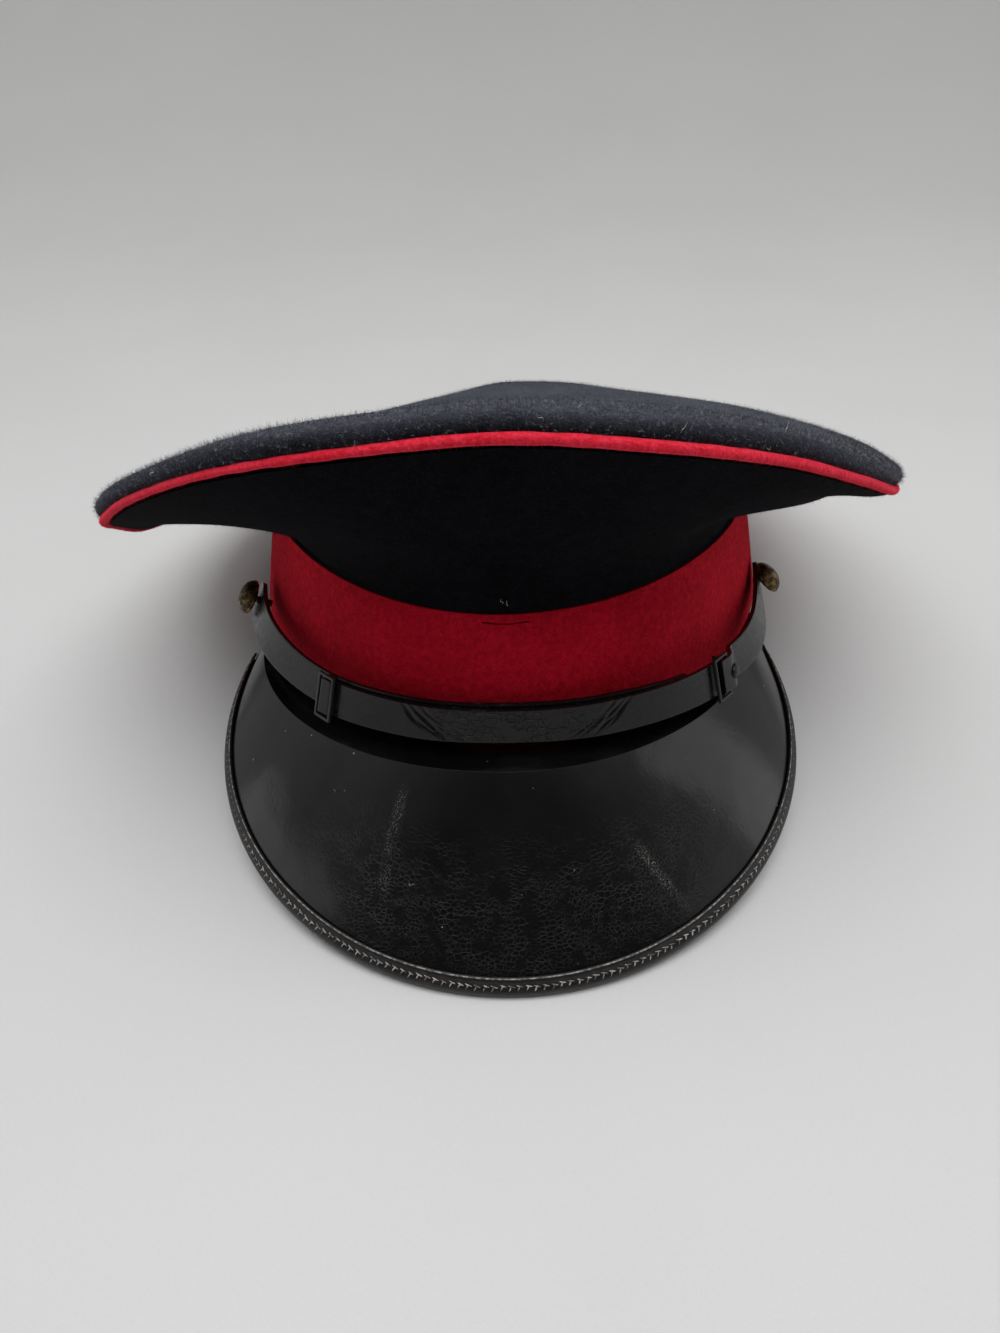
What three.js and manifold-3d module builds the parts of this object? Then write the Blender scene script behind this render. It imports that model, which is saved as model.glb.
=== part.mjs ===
// Peaked cap with a soft crown, lying as it does on a table: on its peak and on the back of its band.
// Lengths are in millimetres and angles in degrees. The front is -Y and up is +Z.
// A turn is an angle round the head: 0 at the front, 90 at +X, -90 at -X, 180 at the back.
import * as THREE from 'three';
import Module from 'manifold-3d';
import { mergeVertices } from 'three/addons/utils/BufferGeometryUtils.js';

const wasm = await Module();
wasm.setup();

// Spacing between neighbouring pieces, and the mesh steps
const GAP = 0.3;
const TURN_STEP = 7.5;
const SEAM_TURN = 0.1;
const SAME_POINT = 1e-4;

// Band: an oval tube that is narrower at the front and flares to its lower edge
const BAND_LEFT_WIDTH = 80.5;
const BAND_RIGHT_WIDTH = 83.6;
const BAND_HALF_LENGTH = 105.5;
const BAND_FRONT_TAPER = 0.15;
const BAND_HEIGHT = 37.5;
const BAND_BACK_DROP = 7;
const BAND_DROP_TURN = 60;
const BAND_FLARE_ENDS = 2.5;
const BAND_FLARE_SIDES = 7;
const BAND_WALL = 2.4;

// Badge slit through the front of the band
const SLIT_WIDTH = 13;
const SLIT_HEIGHT = 1;
const SLIT_BELOW_TOP = 3.2;

// Crown: cloth side panels, a piped rim and a top panel with a rolled edge
const CLOTH = 2;
const RIM_LEFT_WIDTH = 130.5;
const RIM_RIGHT_WIDTH = 125;
const RIM_HALF_LENGTH = 134;
const PIPING_RADIUS = 1.5;
const PIPING_SIDES = 8;
const PANEL_STEPS = 5;
const PANEL_KNEE_RISE = 2;
const PANEL_DRAW = 9.48;
const TOP_STEPS = 7;
const TOP_FULLNESS = 7;
const TOP_WAVES = 6;

// Crown round the head: rise of the piping above the band, and how far a side panel is drawn in
const CROWN = [
  { turn: -180, rise: -6, hollow: 0 },
  { turn: -165, rise: -10, hollow: 0 },
  { turn: -150, rise: -14, hollow: 0 },
  { turn: -135, rise: -16.5, hollow: 0 },
  { turn: -120, rise: -19, hollow: 0 },
  { turn: -105, rise: -20, hollow: 1.5 },
  { turn: -90, rise: -15.6, hollow: 3 },
  { turn: -75, rise: -1.2, hollow: 4 },
  { turn: -60, rise: 13.2, hollow: 4.5 },
  { turn: -45, rise: 29.1, hollow: 4.3 },
  { turn: -30, rise: 42.2, hollow: 4.2 },
  { turn: -15, rise: 50.4, hollow: 3 },
  { turn: 0, rise: 53.8, hollow: 2 },
  { turn: 15, rise: 50.4, hollow: 3 },
  { turn: 30, rise: 42, hollow: 4.5 },
  { turn: 45, rise: 29.3, hollow: 6.4 },
  { turn: 60, rise: 16, hollow: 8 },
  { turn: 75, rise: 8, hollow: 7 },
  { turn: 90, rise: 3, hollow: 6 },
  { turn: 105, rise: -1, hollow: 3.5 },
  { turn: 120, rise: -4, hollow: 1 },
  { turn: 135, rise: -6.5, hollow: 0.5 },
  { turn: 150, rise: -8, hollow: 0 },
  { turn: 165, rise: -7.5, hollow: 0 },
  { turn: 180, rise: -6, hollow: 0 },
];

// Rolled edge of the top panel, from the top face down to the piping, about the piping's centre
const ROLL = [
  { out: -4, up: 7.8, innerOut: -4, innerUp: 5.8 },
  { out: -1.6, up: 7.5, innerOut: -2.2, innerUp: 5.6 },
  { out: 0.3, up: 6.6, innerOut: -1.2, innerUp: 5 },
  { out: 1.3, up: 5, innerOut: -0.8, innerUp: 4.3 },
  { out: 1.3, up: 3.2, innerOut: -0.9, innerUp: 3.2 },
  { out: 0.4, up: 1.8, innerOut: -1.6, innerUp: 1.8 },
];

// Peak: one leather sheet from under the band to an edge that lies in a sloping plane
const PEAK_WALL = 2.4;
const PEAK_TURN = 73.5;
const PEAK_SECTIONS = 40;
const PEAK_STEPS = 6;
const PEAK_BULGE = 2;
const PEAK_SLOPE_STEP = 0.01;
const EDGE_HALF_WIDTH = 90.6;
const EDGE_HALF_LENGTH = 82.5;
const EDGE_CENTRE_Y = -62;
const EDGE_TURN = 111;
const EDGE_DROP = 55.7;
const EDGE_SLOPE = 0.409;

// Binding that grips the edge of the peak: along is out past the edge, up is off the top face
const BINDING_SHARE = 0.96;
const BINDING = [
  { along: -3.8, up: 1.3, innerAlong: -3.8, innerUp: 0.3 },
  { along: -1, up: 1.5, innerAlong: -1, innerUp: 0.3 },
  { along: 1, up: 0.6, innerAlong: 0.3, innerUp: 0.3 },
  { along: 1.8, up: -1.2, innerAlong: 0.3, innerUp: -1.2 },
  { along: 1, up: -3, innerAlong: 0.3, innerUp: -2.7 },
  { along: -1, up: -3.9, innerAlong: -1, innerUp: -2.7 },
  { along: -3.8, up: -3.7, innerAlong: -3.8, innerUp: -2.7 },
];

// Chin strap: leather strips that stand off the band and lean out at their lower edge
const STRAP_WIDTH = 10;
const STRAP_WALL = 1.4;
const STRAP_LAYER = 1.8;
const STRAP_INNER_RAISE = 0.8;
const STRAP_STEP = 3;
const STRAP = [
  { turn: -80, standoff: 4, middle: 11.5, lean: 6 },
  { turn: -60, standoff: 7.5, middle: 7.5, lean: 24 },
  { turn: -40, standoff: 6.3, middle: 6, lean: 18 },
  { turn: -20, standoff: 3, middle: 6.7, lean: 7 },
  { turn: 0, standoff: 1.2, middle: 7.5, lean: 0 },
  { turn: 20, standoff: 3, middle: 6.5, lean: 6 },
  { turn: 40, standoff: 6, middle: 5, lean: 13 },
  { turn: 60, standoff: 7.5, middle: 3.5, lean: 16 },
  { turn: 80, standoff: 1, middle: 9.5, lean: 4 },
];
const STRAP_LEFT_TURN = -72;
const STRAP_INNER_END_TURN = 34;
const STRAP_RIGHT_START_TURN = 37;
const STRAP_RIGHT_TURN = 76;
const TAB_LENGTH = 5;
const TAB_TIP_ANGLE = 80;
const TAB_STEPS = 4;
const HOLE_SEGMENTS = 12;

// Metal slides that the straps pass through
const SLIDE_LEFT_TURN = -36.2;
const SLIDE_RIGHT_TURN = 44;
const SLIDE_WIDTH = 7;
const SLIDE_HEIGHT = 13.4;
const SLIDE_BAR = 1.1;
const SLIDE_CORNER = 1.2;
const SLIDE_CORNER_SEGMENTS = 3;
const SLIDE_POST = 1;
const SLIDE_THICKNESS = 1;
const SLIDE_LIFT = 3.7;
const SLIDE_BUMP = 1.2;
const SLIDE_BUMP_LENGTH = 2.2;
const SLIDE_TAIL = 7;
const SLIDE_BEND_SHARE = 0.6;
const SLIDE_BEND_STEPS = 8;

// Rivet on the right strap
const RIVET_TURN = 50.5;
const RIVET_RADIUS = 2;
const RIVET_TOP_RADIUS = 1.2;
const RIVET_HEIGHT = 0.9;
const RIVET_SHANK = 1;

// Domed buttons on shanks
const BUTTON_RADIUS = 5.8;
const BUTTON_EDGE = 1.2;
const BUTTON_BEVEL = 0.35;
const BUTTON_DOME = 3;
const BUTTON_DOME_STEPS = 5;
const BUTTON_STANDOFF = 1.2;
const BUTTON_SHANK = 1.5;
const BUTTON_SEGMENTS = 20;

// Depth to which the band and the binding are pressed flat by the table, and how the tilt is searched
const REST_FLAT = 0.5;
const TABLE_SIZE = 400;
const TABLE_THICKNESS = 20;
const MOST_TILT = 30;
const TILT_HALVINGS = 50;

const CLOTH_MATERIAL = new THREE.MeshStandardMaterial({ color: 0x101218, roughness: 0.95 });
const RED_MATERIAL = new THREE.MeshStandardMaterial({ color: 0x9c0c1c, roughness: 0.9 });
const PATENT_MATERIAL = new THREE.MeshStandardMaterial({ color: 0x0c0c0d, roughness: 0.15 });
const BINDING_MATERIAL = new THREE.MeshStandardMaterial({ color: 0x1c1815, roughness: 0.6 });
const METAL_MATERIAL = new THREE.MeshStandardMaterial({ color: 0x202022, roughness: 0.35, metalness: 0.8 });
const BRASS_MATERIAL = new THREE.MeshStandardMaterial({ color: 0x8a6a32, roughness: 0.4, metalness: 1 });

// Plan oval of the head or of the rim
class Oval {
  constructor(leftWidth, rightWidth, halfLength, taper) {
    this.leftWidth = leftWidth;
    this.rightWidth = rightWidth;
    this.halfLength = halfLength;
    this.taper = taper;
  }

  // Half width on the side of a turn
  halfWidth(turn) {
    return turn < 0 ? this.leftWidth : this.rightWidth;
  }

  // Unit vector that points out of the oval at a turn
  normal(turn) {
    const angle = THREE.MathUtils.degToRad(turn);
    const alongX = this.halfWidth(turn) * (Math.cos(angle) - this.taper * Math.cos(2 * angle));
    const alongY = this.halfLength * Math.sin(angle);
    return new THREE.Vector3(alongY, -alongX, 0).normalize();
  }

  // Point at a turn, moved out by an offset and up to a height
  point(turn, offset, height) {
    const angle = THREE.MathUtils.degToRad(turn);
    const x = this.halfWidth(turn) * Math.sin(angle) * (1 - this.taper * Math.cos(angle));
    const y = -this.halfLength * Math.cos(angle);
    return new THREE.Vector3(x, y, height).addScaledVector(this.normal(turn), offset);
  }
}

const head = new Oval(BAND_LEFT_WIDTH, BAND_RIGHT_WIDTH, BAND_HALF_LENGTH, BAND_FRONT_TAPER);
const rim = new Oval(RIM_LEFT_WIDTH, RIM_RIGHT_WIDTH, RIM_HALF_LENGTH, 0);

// Smooth reading of one column of an evenly spaced table
function reader(table, column) {
  const curve = new THREE.SplineCurve(table.map((row) => new THREE.Vector2(row.turn, row[column])));
  const first = table[0].turn;
  const last = table[table.length - 1].turn;
  return (turn) => curve.getPoint((turn - first) / (last - first)).y;
}

const rimRise = reader(CROWN, 'rise');
const panelHollow = reader(CROWN, 'hollow');
const strapStandoff = reader(STRAP, 'standoff');
const strapMiddle = reader(STRAP, 'middle');
const strapLean = reader(STRAP, 'lean');

// Evenly spaced values from a start to an end, both included
function spread(start, end, steps) {
  return Array.from({ length: steps + 1 }, (_, i) => start + ((end - start) * i) / steps);
}

// Closed body through sections that each have an outer and an inner row of points
function wall(sections, closed) {
  const half = sections[0].outer.length;
  const count = 2 * half;
  const rings = sections.map((section) => [...section.outer, ...section.inner.slice().reverse()]);
  const index = [];
  const spans = closed ? rings.length : rings.length - 1;
  for (let i = 0; i < spans; i += 1) {
    const here = i * count;
    const next = ((i + 1) % rings.length) * count;
    for (let j = 0; j < count; j += 1) {
      const k = (j + 1) % count;
      index.push(here + j, next + j, here + k, here + k, next + j, next + k);
    }
  }
  if (!closed) {
    const far = (rings.length - 1) * count;
    for (let j = 0; j < half - 1; j += 1) {
      const a = j;
      const b = j + 1;
      const c = count - 2 - j;
      const d = count - 1 - j;
      index.push(a, b, d, b, c, d);
      index.push(far + a, far + d, far + b, far + b, far + d, far + c);
    }
  }
  const geometry = new THREE.BufferGeometry();
  const numbers = rings.flat().flatMap((point) => point.toArray());
  geometry.setAttribute('position', new THREE.Float32BufferAttribute(numbers, 3));
  geometry.setIndex(index);
  return outward(geometry);
}

// Geometry with shared corners, no empty faces, and its faces turned out
function outward(geometry) {
  const merged = mergeVertices(geometry, SAME_POINT);
  const corners = merged.index.array;
  const place = merged.attributes.position;
  const faces = [];
  let volume = 0;
  for (let i = 0; i < corners.length; i += 3) {
    const [a, b, c] = [corners[i], corners[i + 1], corners[i + 2]];
    if (a !== b && b !== c && c !== a) {
      const spot = (corner) => new THREE.Vector3().fromBufferAttribute(place, corner);
      const [pa, pb, pc] = [a, b, c].map(spot);
      volume += pa.dot(pb.cross(pc));
      faces.push(a, b, c);
    }
  }
  merged.setIndex(volume < 0 ? faces.reverse() : faces);
  return merged;
}

// Solid for boolean work
function solid(geometry) {
  const bare = geometry.clone();
  bare.deleteAttribute('normal');
  bare.deleteAttribute('uv');
  const merged = mergeVertices(bare, SAME_POINT);
  const vertProperties = new Float32Array(merged.attributes.position.array);
  const triVerts = new Uint32Array(merged.index.array);
  return new wasm.Manifold(new wasm.Mesh({ numProp: 3, vertProperties, triVerts }));
}

// Geometry of a solid after boolean work
function fromSolid(body) {
  const mesh = body.getMesh();
  const geometry = new THREE.BufferGeometry();
  geometry.setAttribute('position', new THREE.Float32BufferAttribute(mesh.vertProperties, 3));
  geometry.setIndex(Array.from(mesh.triVerts));
  return geometry;
}

// Geometry with tool shapes cut away
function cut(geometry, ...tools) {
  return fromSolid(tools.reduce((body, tool) => body.subtract(solid(tool)), solid(geometry)));
}

// Geometry of several overlapping shapes joined as one
function join(...shapes) {
  return fromSolid(shapes.map(solid).reduce((body, shape) => body.add(shape)));
}

// Point off the outer face of the band, which flares more at the sides than at its ends
function bandPoint(turn, offset, height) {
  const side = Math.sin(THREE.MathUtils.degToRad(turn)) ** 2;
  const flare = BAND_FLARE_ENDS + (BAND_FLARE_SIDES - BAND_FLARE_ENDS) * side;
  return head.point(turn, offset + flare * (1 - Math.max(height, 0) / BAND_HEIGHT), height);
}

// Height of the top edge of the band, which dips towards the back
function bandTop(turn) {
  return BAND_HEIGHT - BAND_BACK_DROP * THREE.MathUtils.smoothstep(Math.abs(turn), BAND_DROP_TURN, 180);
}

// Every turn of a full round
function roundTurns() {
  return spread(-180, 180, 360 / TURN_STEP).slice(0, -1);
}

// Red band with its badge slit
function makeBand() {
  const sections = roundTurns().map((turn) => ({
    outer: [bandPoint(turn, 0, 0), bandPoint(turn, 0, bandTop(turn))],
    inner: [bandPoint(turn, -BAND_WALL, 0), bandPoint(turn, -BAND_WALL, bandTop(turn))],
  }));
  const slit = new THREE.BoxGeometry(SLIT_WIDTH, 4 * BAND_WALL, SLIT_HEIGHT);
  slit.translate(0, -BAND_HALF_LENGTH, BAND_HEIGHT - SLIT_BELOW_TOP);
  return cut(wall(sections, true), slit);
}

// Section of a side panel from its foot on the band to the piping
function panelSection(turn) {
  const foot = bandTop(turn) + GAP;
  const knee = bandPoint(turn, -CLOTH / 2, bandTop(turn) + PANEL_KNEE_RISE);
  const centre = rim.point(turn, 0, BAND_HEIGHT + rimRise(turn));
  const slope = centre.clone().sub(knee).normalize();
  const end = centre.clone().addScaledVector(slope, -PIPING_RADIUS - GAP);
  const level = new THREE.Vector3(slope.x, slope.y, 0).normalize();
  const inward = new THREE.Vector3(0, 0, level.dot(slope)).addScaledVector(level, -slope.z);
  const outer = [bandPoint(turn, -GAP, foot)];
  const inner = [bandPoint(turn, -GAP - CLOTH, foot)];
  for (const share of spread(0, 1, PANEL_STEPS)) {
    const draw = PANEL_DRAW * share * (1 - share) ** 3 * panelHollow(turn);
    const middle = knee.clone().lerp(end, share).addScaledVector(inward, draw);
    outer.push(middle.clone().addScaledVector(inward, -CLOTH / 2));
    inner.push(middle.clone().addScaledVector(inward, CLOTH / 2));
  }
  return { outer, inner };
}

// Side panel of the crown between two seams
function makePanel(startTurn, endTurn) {
  const steps = Math.round((endTurn - startTurn) / TURN_STEP);
  const turns = spread(startTurn + SEAM_TURN, endTurn - SEAM_TURN, steps);
  return wall(turns.map(panelSection), false);
}

// Piping: a round cord along the rim
function makePiping() {
  const sections = roundTurns().map((turn) => {
    const centre = rim.point(turn, 0, BAND_HEIGHT + rimRise(turn));
    const ring = spread(0, 360, PIPING_SIDES).slice(0, -1).map((side) => {
      const angle = THREE.MathUtils.degToRad(side + 180 / PIPING_SIDES);
      const point = centre.clone().addScaledVector(rim.normal(turn), PIPING_RADIUS * Math.cos(angle));
      point.z += PIPING_RADIUS * Math.sin(angle);
      return point;
    });
    const half = PIPING_SIDES / 2;
    return { outer: ring.slice(0, half), inner: ring.slice(half).reverse() };
  });
  return wall(sections, true);
}

// Wave heights of the rim, so that the top panel can hang from it like a drum skin
function rimWaves() {
  const turns = roundTurns();
  return spread(0, TOP_WAVES, TOP_WAVES).map((wave) => {
    const weight = wave === 0 ? 1 / turns.length : 2 / turns.length;
    const angles = turns.map((turn) => THREE.MathUtils.degToRad(wave * turn));
    const cosine = turns.reduce((sum, turn, i) => sum + weight * rimRise(turn) * Math.cos(angles[i]), 0);
    const sine = turns.reduce((sum, turn, i) => sum + weight * rimRise(turn) * Math.sin(angles[i]), 0);
    return { wave, cosine, sine };
  });
}

const waves = rimWaves();

// Rise of the top panel at a turn and a share of the way from its middle to the roll
function topRise(turn, share) {
  const drum = waves.reduce((sum, { wave, cosine, sine }) => {
    const angle = THREE.MathUtils.degToRad(wave * turn);
    return sum + (cosine * Math.cos(angle) + sine * Math.sin(angle)) * share ** wave;
  }, 0);
  const edge = rimRise(turn) - waves.reduce((sum, { wave, cosine, sine }) => {
    const angle = THREE.MathUtils.degToRad(wave * turn);
    return sum + cosine * Math.cos(angle) + sine * Math.sin(angle);
  }, 0);
  return drum + edge * share ** (TOP_WAVES + 1) + TOP_FULLNESS * (1 - share ** TOP_WAVES);
}

// Top panel with its rolled edge
function makeTop() {
  const sections = roundTurns().map((turn) => {
    const outer = [];
    const inner = [];
    const base = BAND_HEIGHT + ROLL[0].up;
    const edge = rim.point(turn, ROLL[0].out, 0);
    for (const share of spread(0, 1, TOP_STEPS).slice(0, -1)) {
      const height = base + topRise(turn, share);
      outer.push(edge.clone().multiplyScalar(share).setZ(height));
      inner.push(edge.clone().multiplyScalar(share).setZ(height - CLOTH));
    }
    const centre = BAND_HEIGHT + rimRise(turn);
    for (const row of ROLL) {
      outer.push(rim.point(turn, row.out, centre + row.up));
      inner.push(rim.point(turn, row.innerOut, centre + row.innerUp));
    }
    return { outer, inner };
  });
  return wall(sections, true);
}

// Edge of the peak's top face at a share of the way from its middle to a corner
function edgePoint(share) {
  const angle = THREE.MathUtils.degToRad(share * EDGE_TURN);
  const x = EDGE_HALF_WIDTH * Math.sin(angle);
  const y = EDGE_CENTRE_Y - EDGE_HALF_LENGTH * Math.cos(angle);
  const tip = EDGE_CENTRE_Y - EDGE_HALF_LENGTH;
  return new THREE.Vector3(x, y, EDGE_SLOPE * (y - tip) - EDGE_DROP);
}

// Point on the peak's top face, across from the middle to a corner and out from the band to the edge
function peakPoint(across, out) {
  const root = bandPoint(across * PEAK_TURN, -GAP, -GAP);
  const edge = edgePoint(across);
  const point = root.clone().lerp(edge, out);
  const bulge = PEAK_BULGE * Math.SQRT1_2 * 4 * out * (1 - out) * (1 - across * across);
  const level = head.normal(across * PEAK_TURN);
  return point.addScaledVector(level, bulge).setZ(point.z + bulge);
}

// Unit vectors at a place on the peak: out towards the edge, and off the top face
function peakAxes(across, out) {
  const step = PEAK_SLOPE_STEP;
  const along = peakPoint(across, out).sub(peakPoint(across, out - step)).normalize();
  const side = peakPoint(across + step, out).sub(peakPoint(across - step, out)).normalize();
  return { along, up: new THREE.Vector3().crossVectors(side, along).negate().normalize() };
}

// Leather peak
function makePeak() {
  const sections = spread(-1, 1, PEAK_SECTIONS).map((across) => {
    const turn = across * PEAK_TURN;
    const outer = [bandPoint(turn, -BAND_WALL, -GAP)];
    const inner = [bandPoint(turn, -BAND_WALL, -GAP - PEAK_WALL)];
    for (const out of spread(0, 1, PEAK_STEPS)) {
      const point = peakPoint(across, out);
      outer.push(point);
      inner.push(point.clone().addScaledVector(peakAxes(across, out).up, -PEAK_WALL));
    }
    return { outer, inner };
  });
  return wall(sections, false);
}

// Binding round the edge of the peak
function makeBinding() {
  const sections = spread(-BINDING_SHARE, BINDING_SHARE, PEAK_SECTIONS).map((across) => {
    const edge = edgePoint(across);
    const { along, up } = peakAxes(across, 1);
    const place = (a, b) => edge.clone().addScaledVector(along, a).addScaledVector(up, b);
    return {
      outer: BINDING.map((row) => place(row.along, row.up)),
      inner: BINDING.map((row) => place(row.innerAlong, row.innerUp)),
    };
  });
  return wall(sections, false);
}

// Place and unit vectors of the strap at a turn: along it, up its width, and off its face
function strapFrame(turn, lift) {
  const lean = THREE.MathUtils.degToRad(strapLean(turn));
  const level = head.normal(turn);
  const rise = new THREE.Vector3(0, 0, 1);
  const up = rise.clone().multiplyScalar(Math.cos(lean)).addScaledVector(level, -Math.sin(lean));
  const off = level.clone().multiplyScalar(Math.cos(lean)).addScaledVector(rise, Math.sin(lean));
  const along = new THREE.Vector3().crossVectors(up, off);
  const height = strapMiddle(turn);
  const centre = bandPoint(turn, strapStandoff(turn), height).addScaledVector(off, lift);
  return { centre, along, up, off };
}

// Matrix that carries a shape into the strap's frame at a turn
function strapMatrix(turn, lift) {
  const { centre, along, up, off } = strapFrame(turn, lift);
  return new THREE.Matrix4().makeBasis(along, up, off).setPosition(centre);
}

// Length along the strap for one degree of turn
function degreeLength(turn) {
  return strapFrame(turn + 0.5, 0).centre.distanceTo(strapFrame(turn - 0.5, 0).centre);
}

// Section of a strap at a turn
function strapSection(turn, lift, halfWidth, raise = 0) {
  const { centre, up, off } = strapFrame(turn, lift);
  centre.addScaledVector(up, raise);
  const outside = centre.clone().addScaledVector(off, STRAP_WALL);
  return {
    outer: [-halfWidth, halfWidth].map((across) => outside.clone().addScaledVector(up, across)),
    inner: [-halfWidth, halfWidth].map((across) => centre.clone().addScaledVector(up, across)),
  };
}

// Extra lift of the front strap where it crosses the middle bar of a slide
function slideBump(turn) {
  return [SLIDE_LEFT_TURN, SLIDE_RIGHT_TURN].reduce((sum, slideTurn) => {
    const away = (Math.abs(turn - slideTurn) * degreeLength(slideTurn)) / SLIDE_BUMP_LENGTH;
    return sum + (away < 1 ? SLIDE_BUMP * 0.5 * (1 + Math.cos(Math.PI * away)) : 0);
  }, 0);
}

// Turns for a strap between two ends
function strapTurns(startTurn, endTurn) {
  return spread(startTurn, endTurn, Math.ceil((endTurn - startTurn) / STRAP_STEP));
}

// Sections of a rounded tab past a button, listed from the tip inwards
function tabSections(turn, direction) {
  return spread(TAB_TIP_ANGLE, 0, TAB_STEPS).slice(0, -1).map((tabAngle) => {
    const angle = THREE.MathUtils.degToRad(tabAngle);
    const reach = (direction * TAB_LENGTH * Math.sin(angle)) / degreeLength(turn);
    const halfWidth = (STRAP_WIDTH / 2) * Math.cos(angle);
    return strapSection(turn + reach, 0, halfWidth, STRAP_INNER_RAISE);
  });
}

// Hole through a strap
function strapHole(turn, radius) {
  const drill = new THREE.CylinderGeometry(radius, radius, 6 * STRAP_WALL, HOLE_SEGMENTS);
  drill.rotateX(Math.PI / 2);
  return drill.applyMatrix4(strapMatrix(turn, STRAP_WALL / 2));
}

// Long inner strap from the left button
function makeStrapLeft() {
  const turns = strapTurns(STRAP_LEFT_TURN, STRAP_INNER_END_TURN);
  const body = turns.map((turn) => strapSection(turn, 0, STRAP_WIDTH / 2, STRAP_INNER_RAISE));
  const strap = wall([...tabSections(STRAP_LEFT_TURN, -1), ...body], false);
  return cut(strap, strapHole(STRAP_LEFT_TURN, BUTTON_SHANK + GAP));
}

// Short strap from the right button
function makeStrapRight() {
  const turns = strapTurns(STRAP_RIGHT_START_TURN, STRAP_RIGHT_TURN);
  const body = turns.map((turn) => strapSection(turn, 0, STRAP_WIDTH / 2, STRAP_INNER_RAISE));
  const strap = wall([...body, ...tabSections(STRAP_RIGHT_TURN, 1).reverse()], false);
  const buttonHole = strapHole(STRAP_RIGHT_TURN, BUTTON_SHANK + GAP);
  return cut(strap, buttonHole, strapHole(RIVET_TURN, RIVET_SHANK + GAP));
}

// Front strap, over the middle bar of each slide
function makeStrapFront() {
  const tail = (slideTurn) => SLIDE_TAIL / degreeLength(slideTurn);
  const start = SLIDE_LEFT_TURN - tail(SLIDE_LEFT_TURN);
  const end = SLIDE_RIGHT_TURN + tail(SLIDE_RIGHT_TURN);
  const bend = (slideTurn) => SLIDE_BEND_SHARE * tail(slideTurn);
  const near = (slideTurn) => {
    const reach = bend(slideTurn);
    return spread(slideTurn - reach, slideTurn + reach, SLIDE_BEND_STEPS);
  };
  const left = near(SLIDE_LEFT_TURN);
  const right = near(SLIDE_RIGHT_TURN);
  const middle = strapTurns(left[left.length - 1], right[0]).slice(1, -1);
  const turns = [start, ...left, ...middle, ...right, end];
  const section = (turn) => strapSection(turn, STRAP_LAYER + slideBump(turn), STRAP_WIDTH / 2);
  return wall(turns.map(section), false);
}

// Rounded rectangle about the origin
function roundedShape(Kind, width, height, corner) {
  const shape = new Kind();
  const x = width / 2 - corner;
  const y = height / 2 - corner;
  shape.absarc(x, y, corner, 0, Math.PI / 2);
  shape.absarc(-x, y, corner, Math.PI / 2, Math.PI);
  shape.absarc(-x, -y, corner, Math.PI, 1.5 * Math.PI);
  shape.absarc(x, -y, corner, 1.5 * Math.PI, 2 * Math.PI);
  shape.closePath();
  return shape;
}

// Metal slide: a flat frame with a middle bar set back on two posts
function makeSlide(turn) {
  const frame = roundedShape(THREE.Shape, SLIDE_WIDTH, SLIDE_HEIGHT, SLIDE_CORNER);
  const opening = [SLIDE_WIDTH - 2 * SLIDE_BAR, SLIDE_HEIGHT - 2 * SLIDE_BAR];
  frame.holes.push(roundedShape(THREE.Path, ...opening, SLIDE_CORNER / 2));
  const plate = new THREE.ExtrudeGeometry(frame, {
    depth: SLIDE_THICKNESS,
    bevelEnabled: false,
    curveSegments: SLIDE_CORNER_SEGMENTS,
  });
  plate.translate(0, 0, SLIDE_LIFT);
  const setBack = STRAP_LAYER;
  const barThickness = SLIDE_BUMP / 2;
  const bar = new THREE.BoxGeometry(SLIDE_BAR, SLIDE_HEIGHT - SLIDE_BAR, barThickness);
  bar.translate(0, 0, setBack + barThickness / 2);
  const postHeight = SLIDE_LIFT + SLIDE_THICKNESS / 2 - setBack;
  const posts = [-1, 1].map((side) => {
    const post = new THREE.BoxGeometry(SLIDE_BAR, SLIDE_POST, postHeight);
    return post.translate(0, (side * (SLIDE_HEIGHT - SLIDE_BAR)) / 2, setBack + postHeight / 2);
  });
  return join(plate, bar, ...posts).applyMatrix4(strapMatrix(turn, 0));
}

// Turned shape about the strap's off-face direction, from a profile of radius and height
function turned(profile, turn, lift, segments) {
  const points = profile.map(([radius, height]) => new THREE.Vector2(radius, height));
  const lathe = new THREE.LatheGeometry(points, segments).rotateX(Math.PI / 2);
  lathe.deleteAttribute('normal');
  lathe.deleteAttribute('uv');
  return outward(lathe.applyMatrix4(strapMatrix(turn, lift)));
}

// Domed button whose shank passes through the strap to the band
function makeButton(turn) {
  const lean = THREE.MathUtils.degToRad(strapLean(turn));
  const shankEnd = -(strapStandoff(turn) - 2 * GAP) / Math.cos(lean) + BUTTON_SHANK * Math.tan(lean);
  const back = STRAP_WALL + BUTTON_STANDOFF;
  const dome = spread(0, 90, BUTTON_DOME_STEPS).map((angle) => {
    const radians = THREE.MathUtils.degToRad(angle);
    return [BUTTON_RADIUS * Math.cos(radians), back + BUTTON_EDGE + BUTTON_DOME * Math.sin(radians)];
  });
  dome[dome.length - 1][0] = 0;
  const profile = [
    [0, shankEnd],
    [BUTTON_SHANK, shankEnd],
    [BUTTON_SHANK, back],
    [BUTTON_RADIUS - BUTTON_BEVEL, back],
    [BUTTON_RADIUS, back + BUTTON_EDGE / 2],
    ...dome,
  ];
  return turned(profile, turn, 0, BUTTON_SEGMENTS);
}

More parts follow.
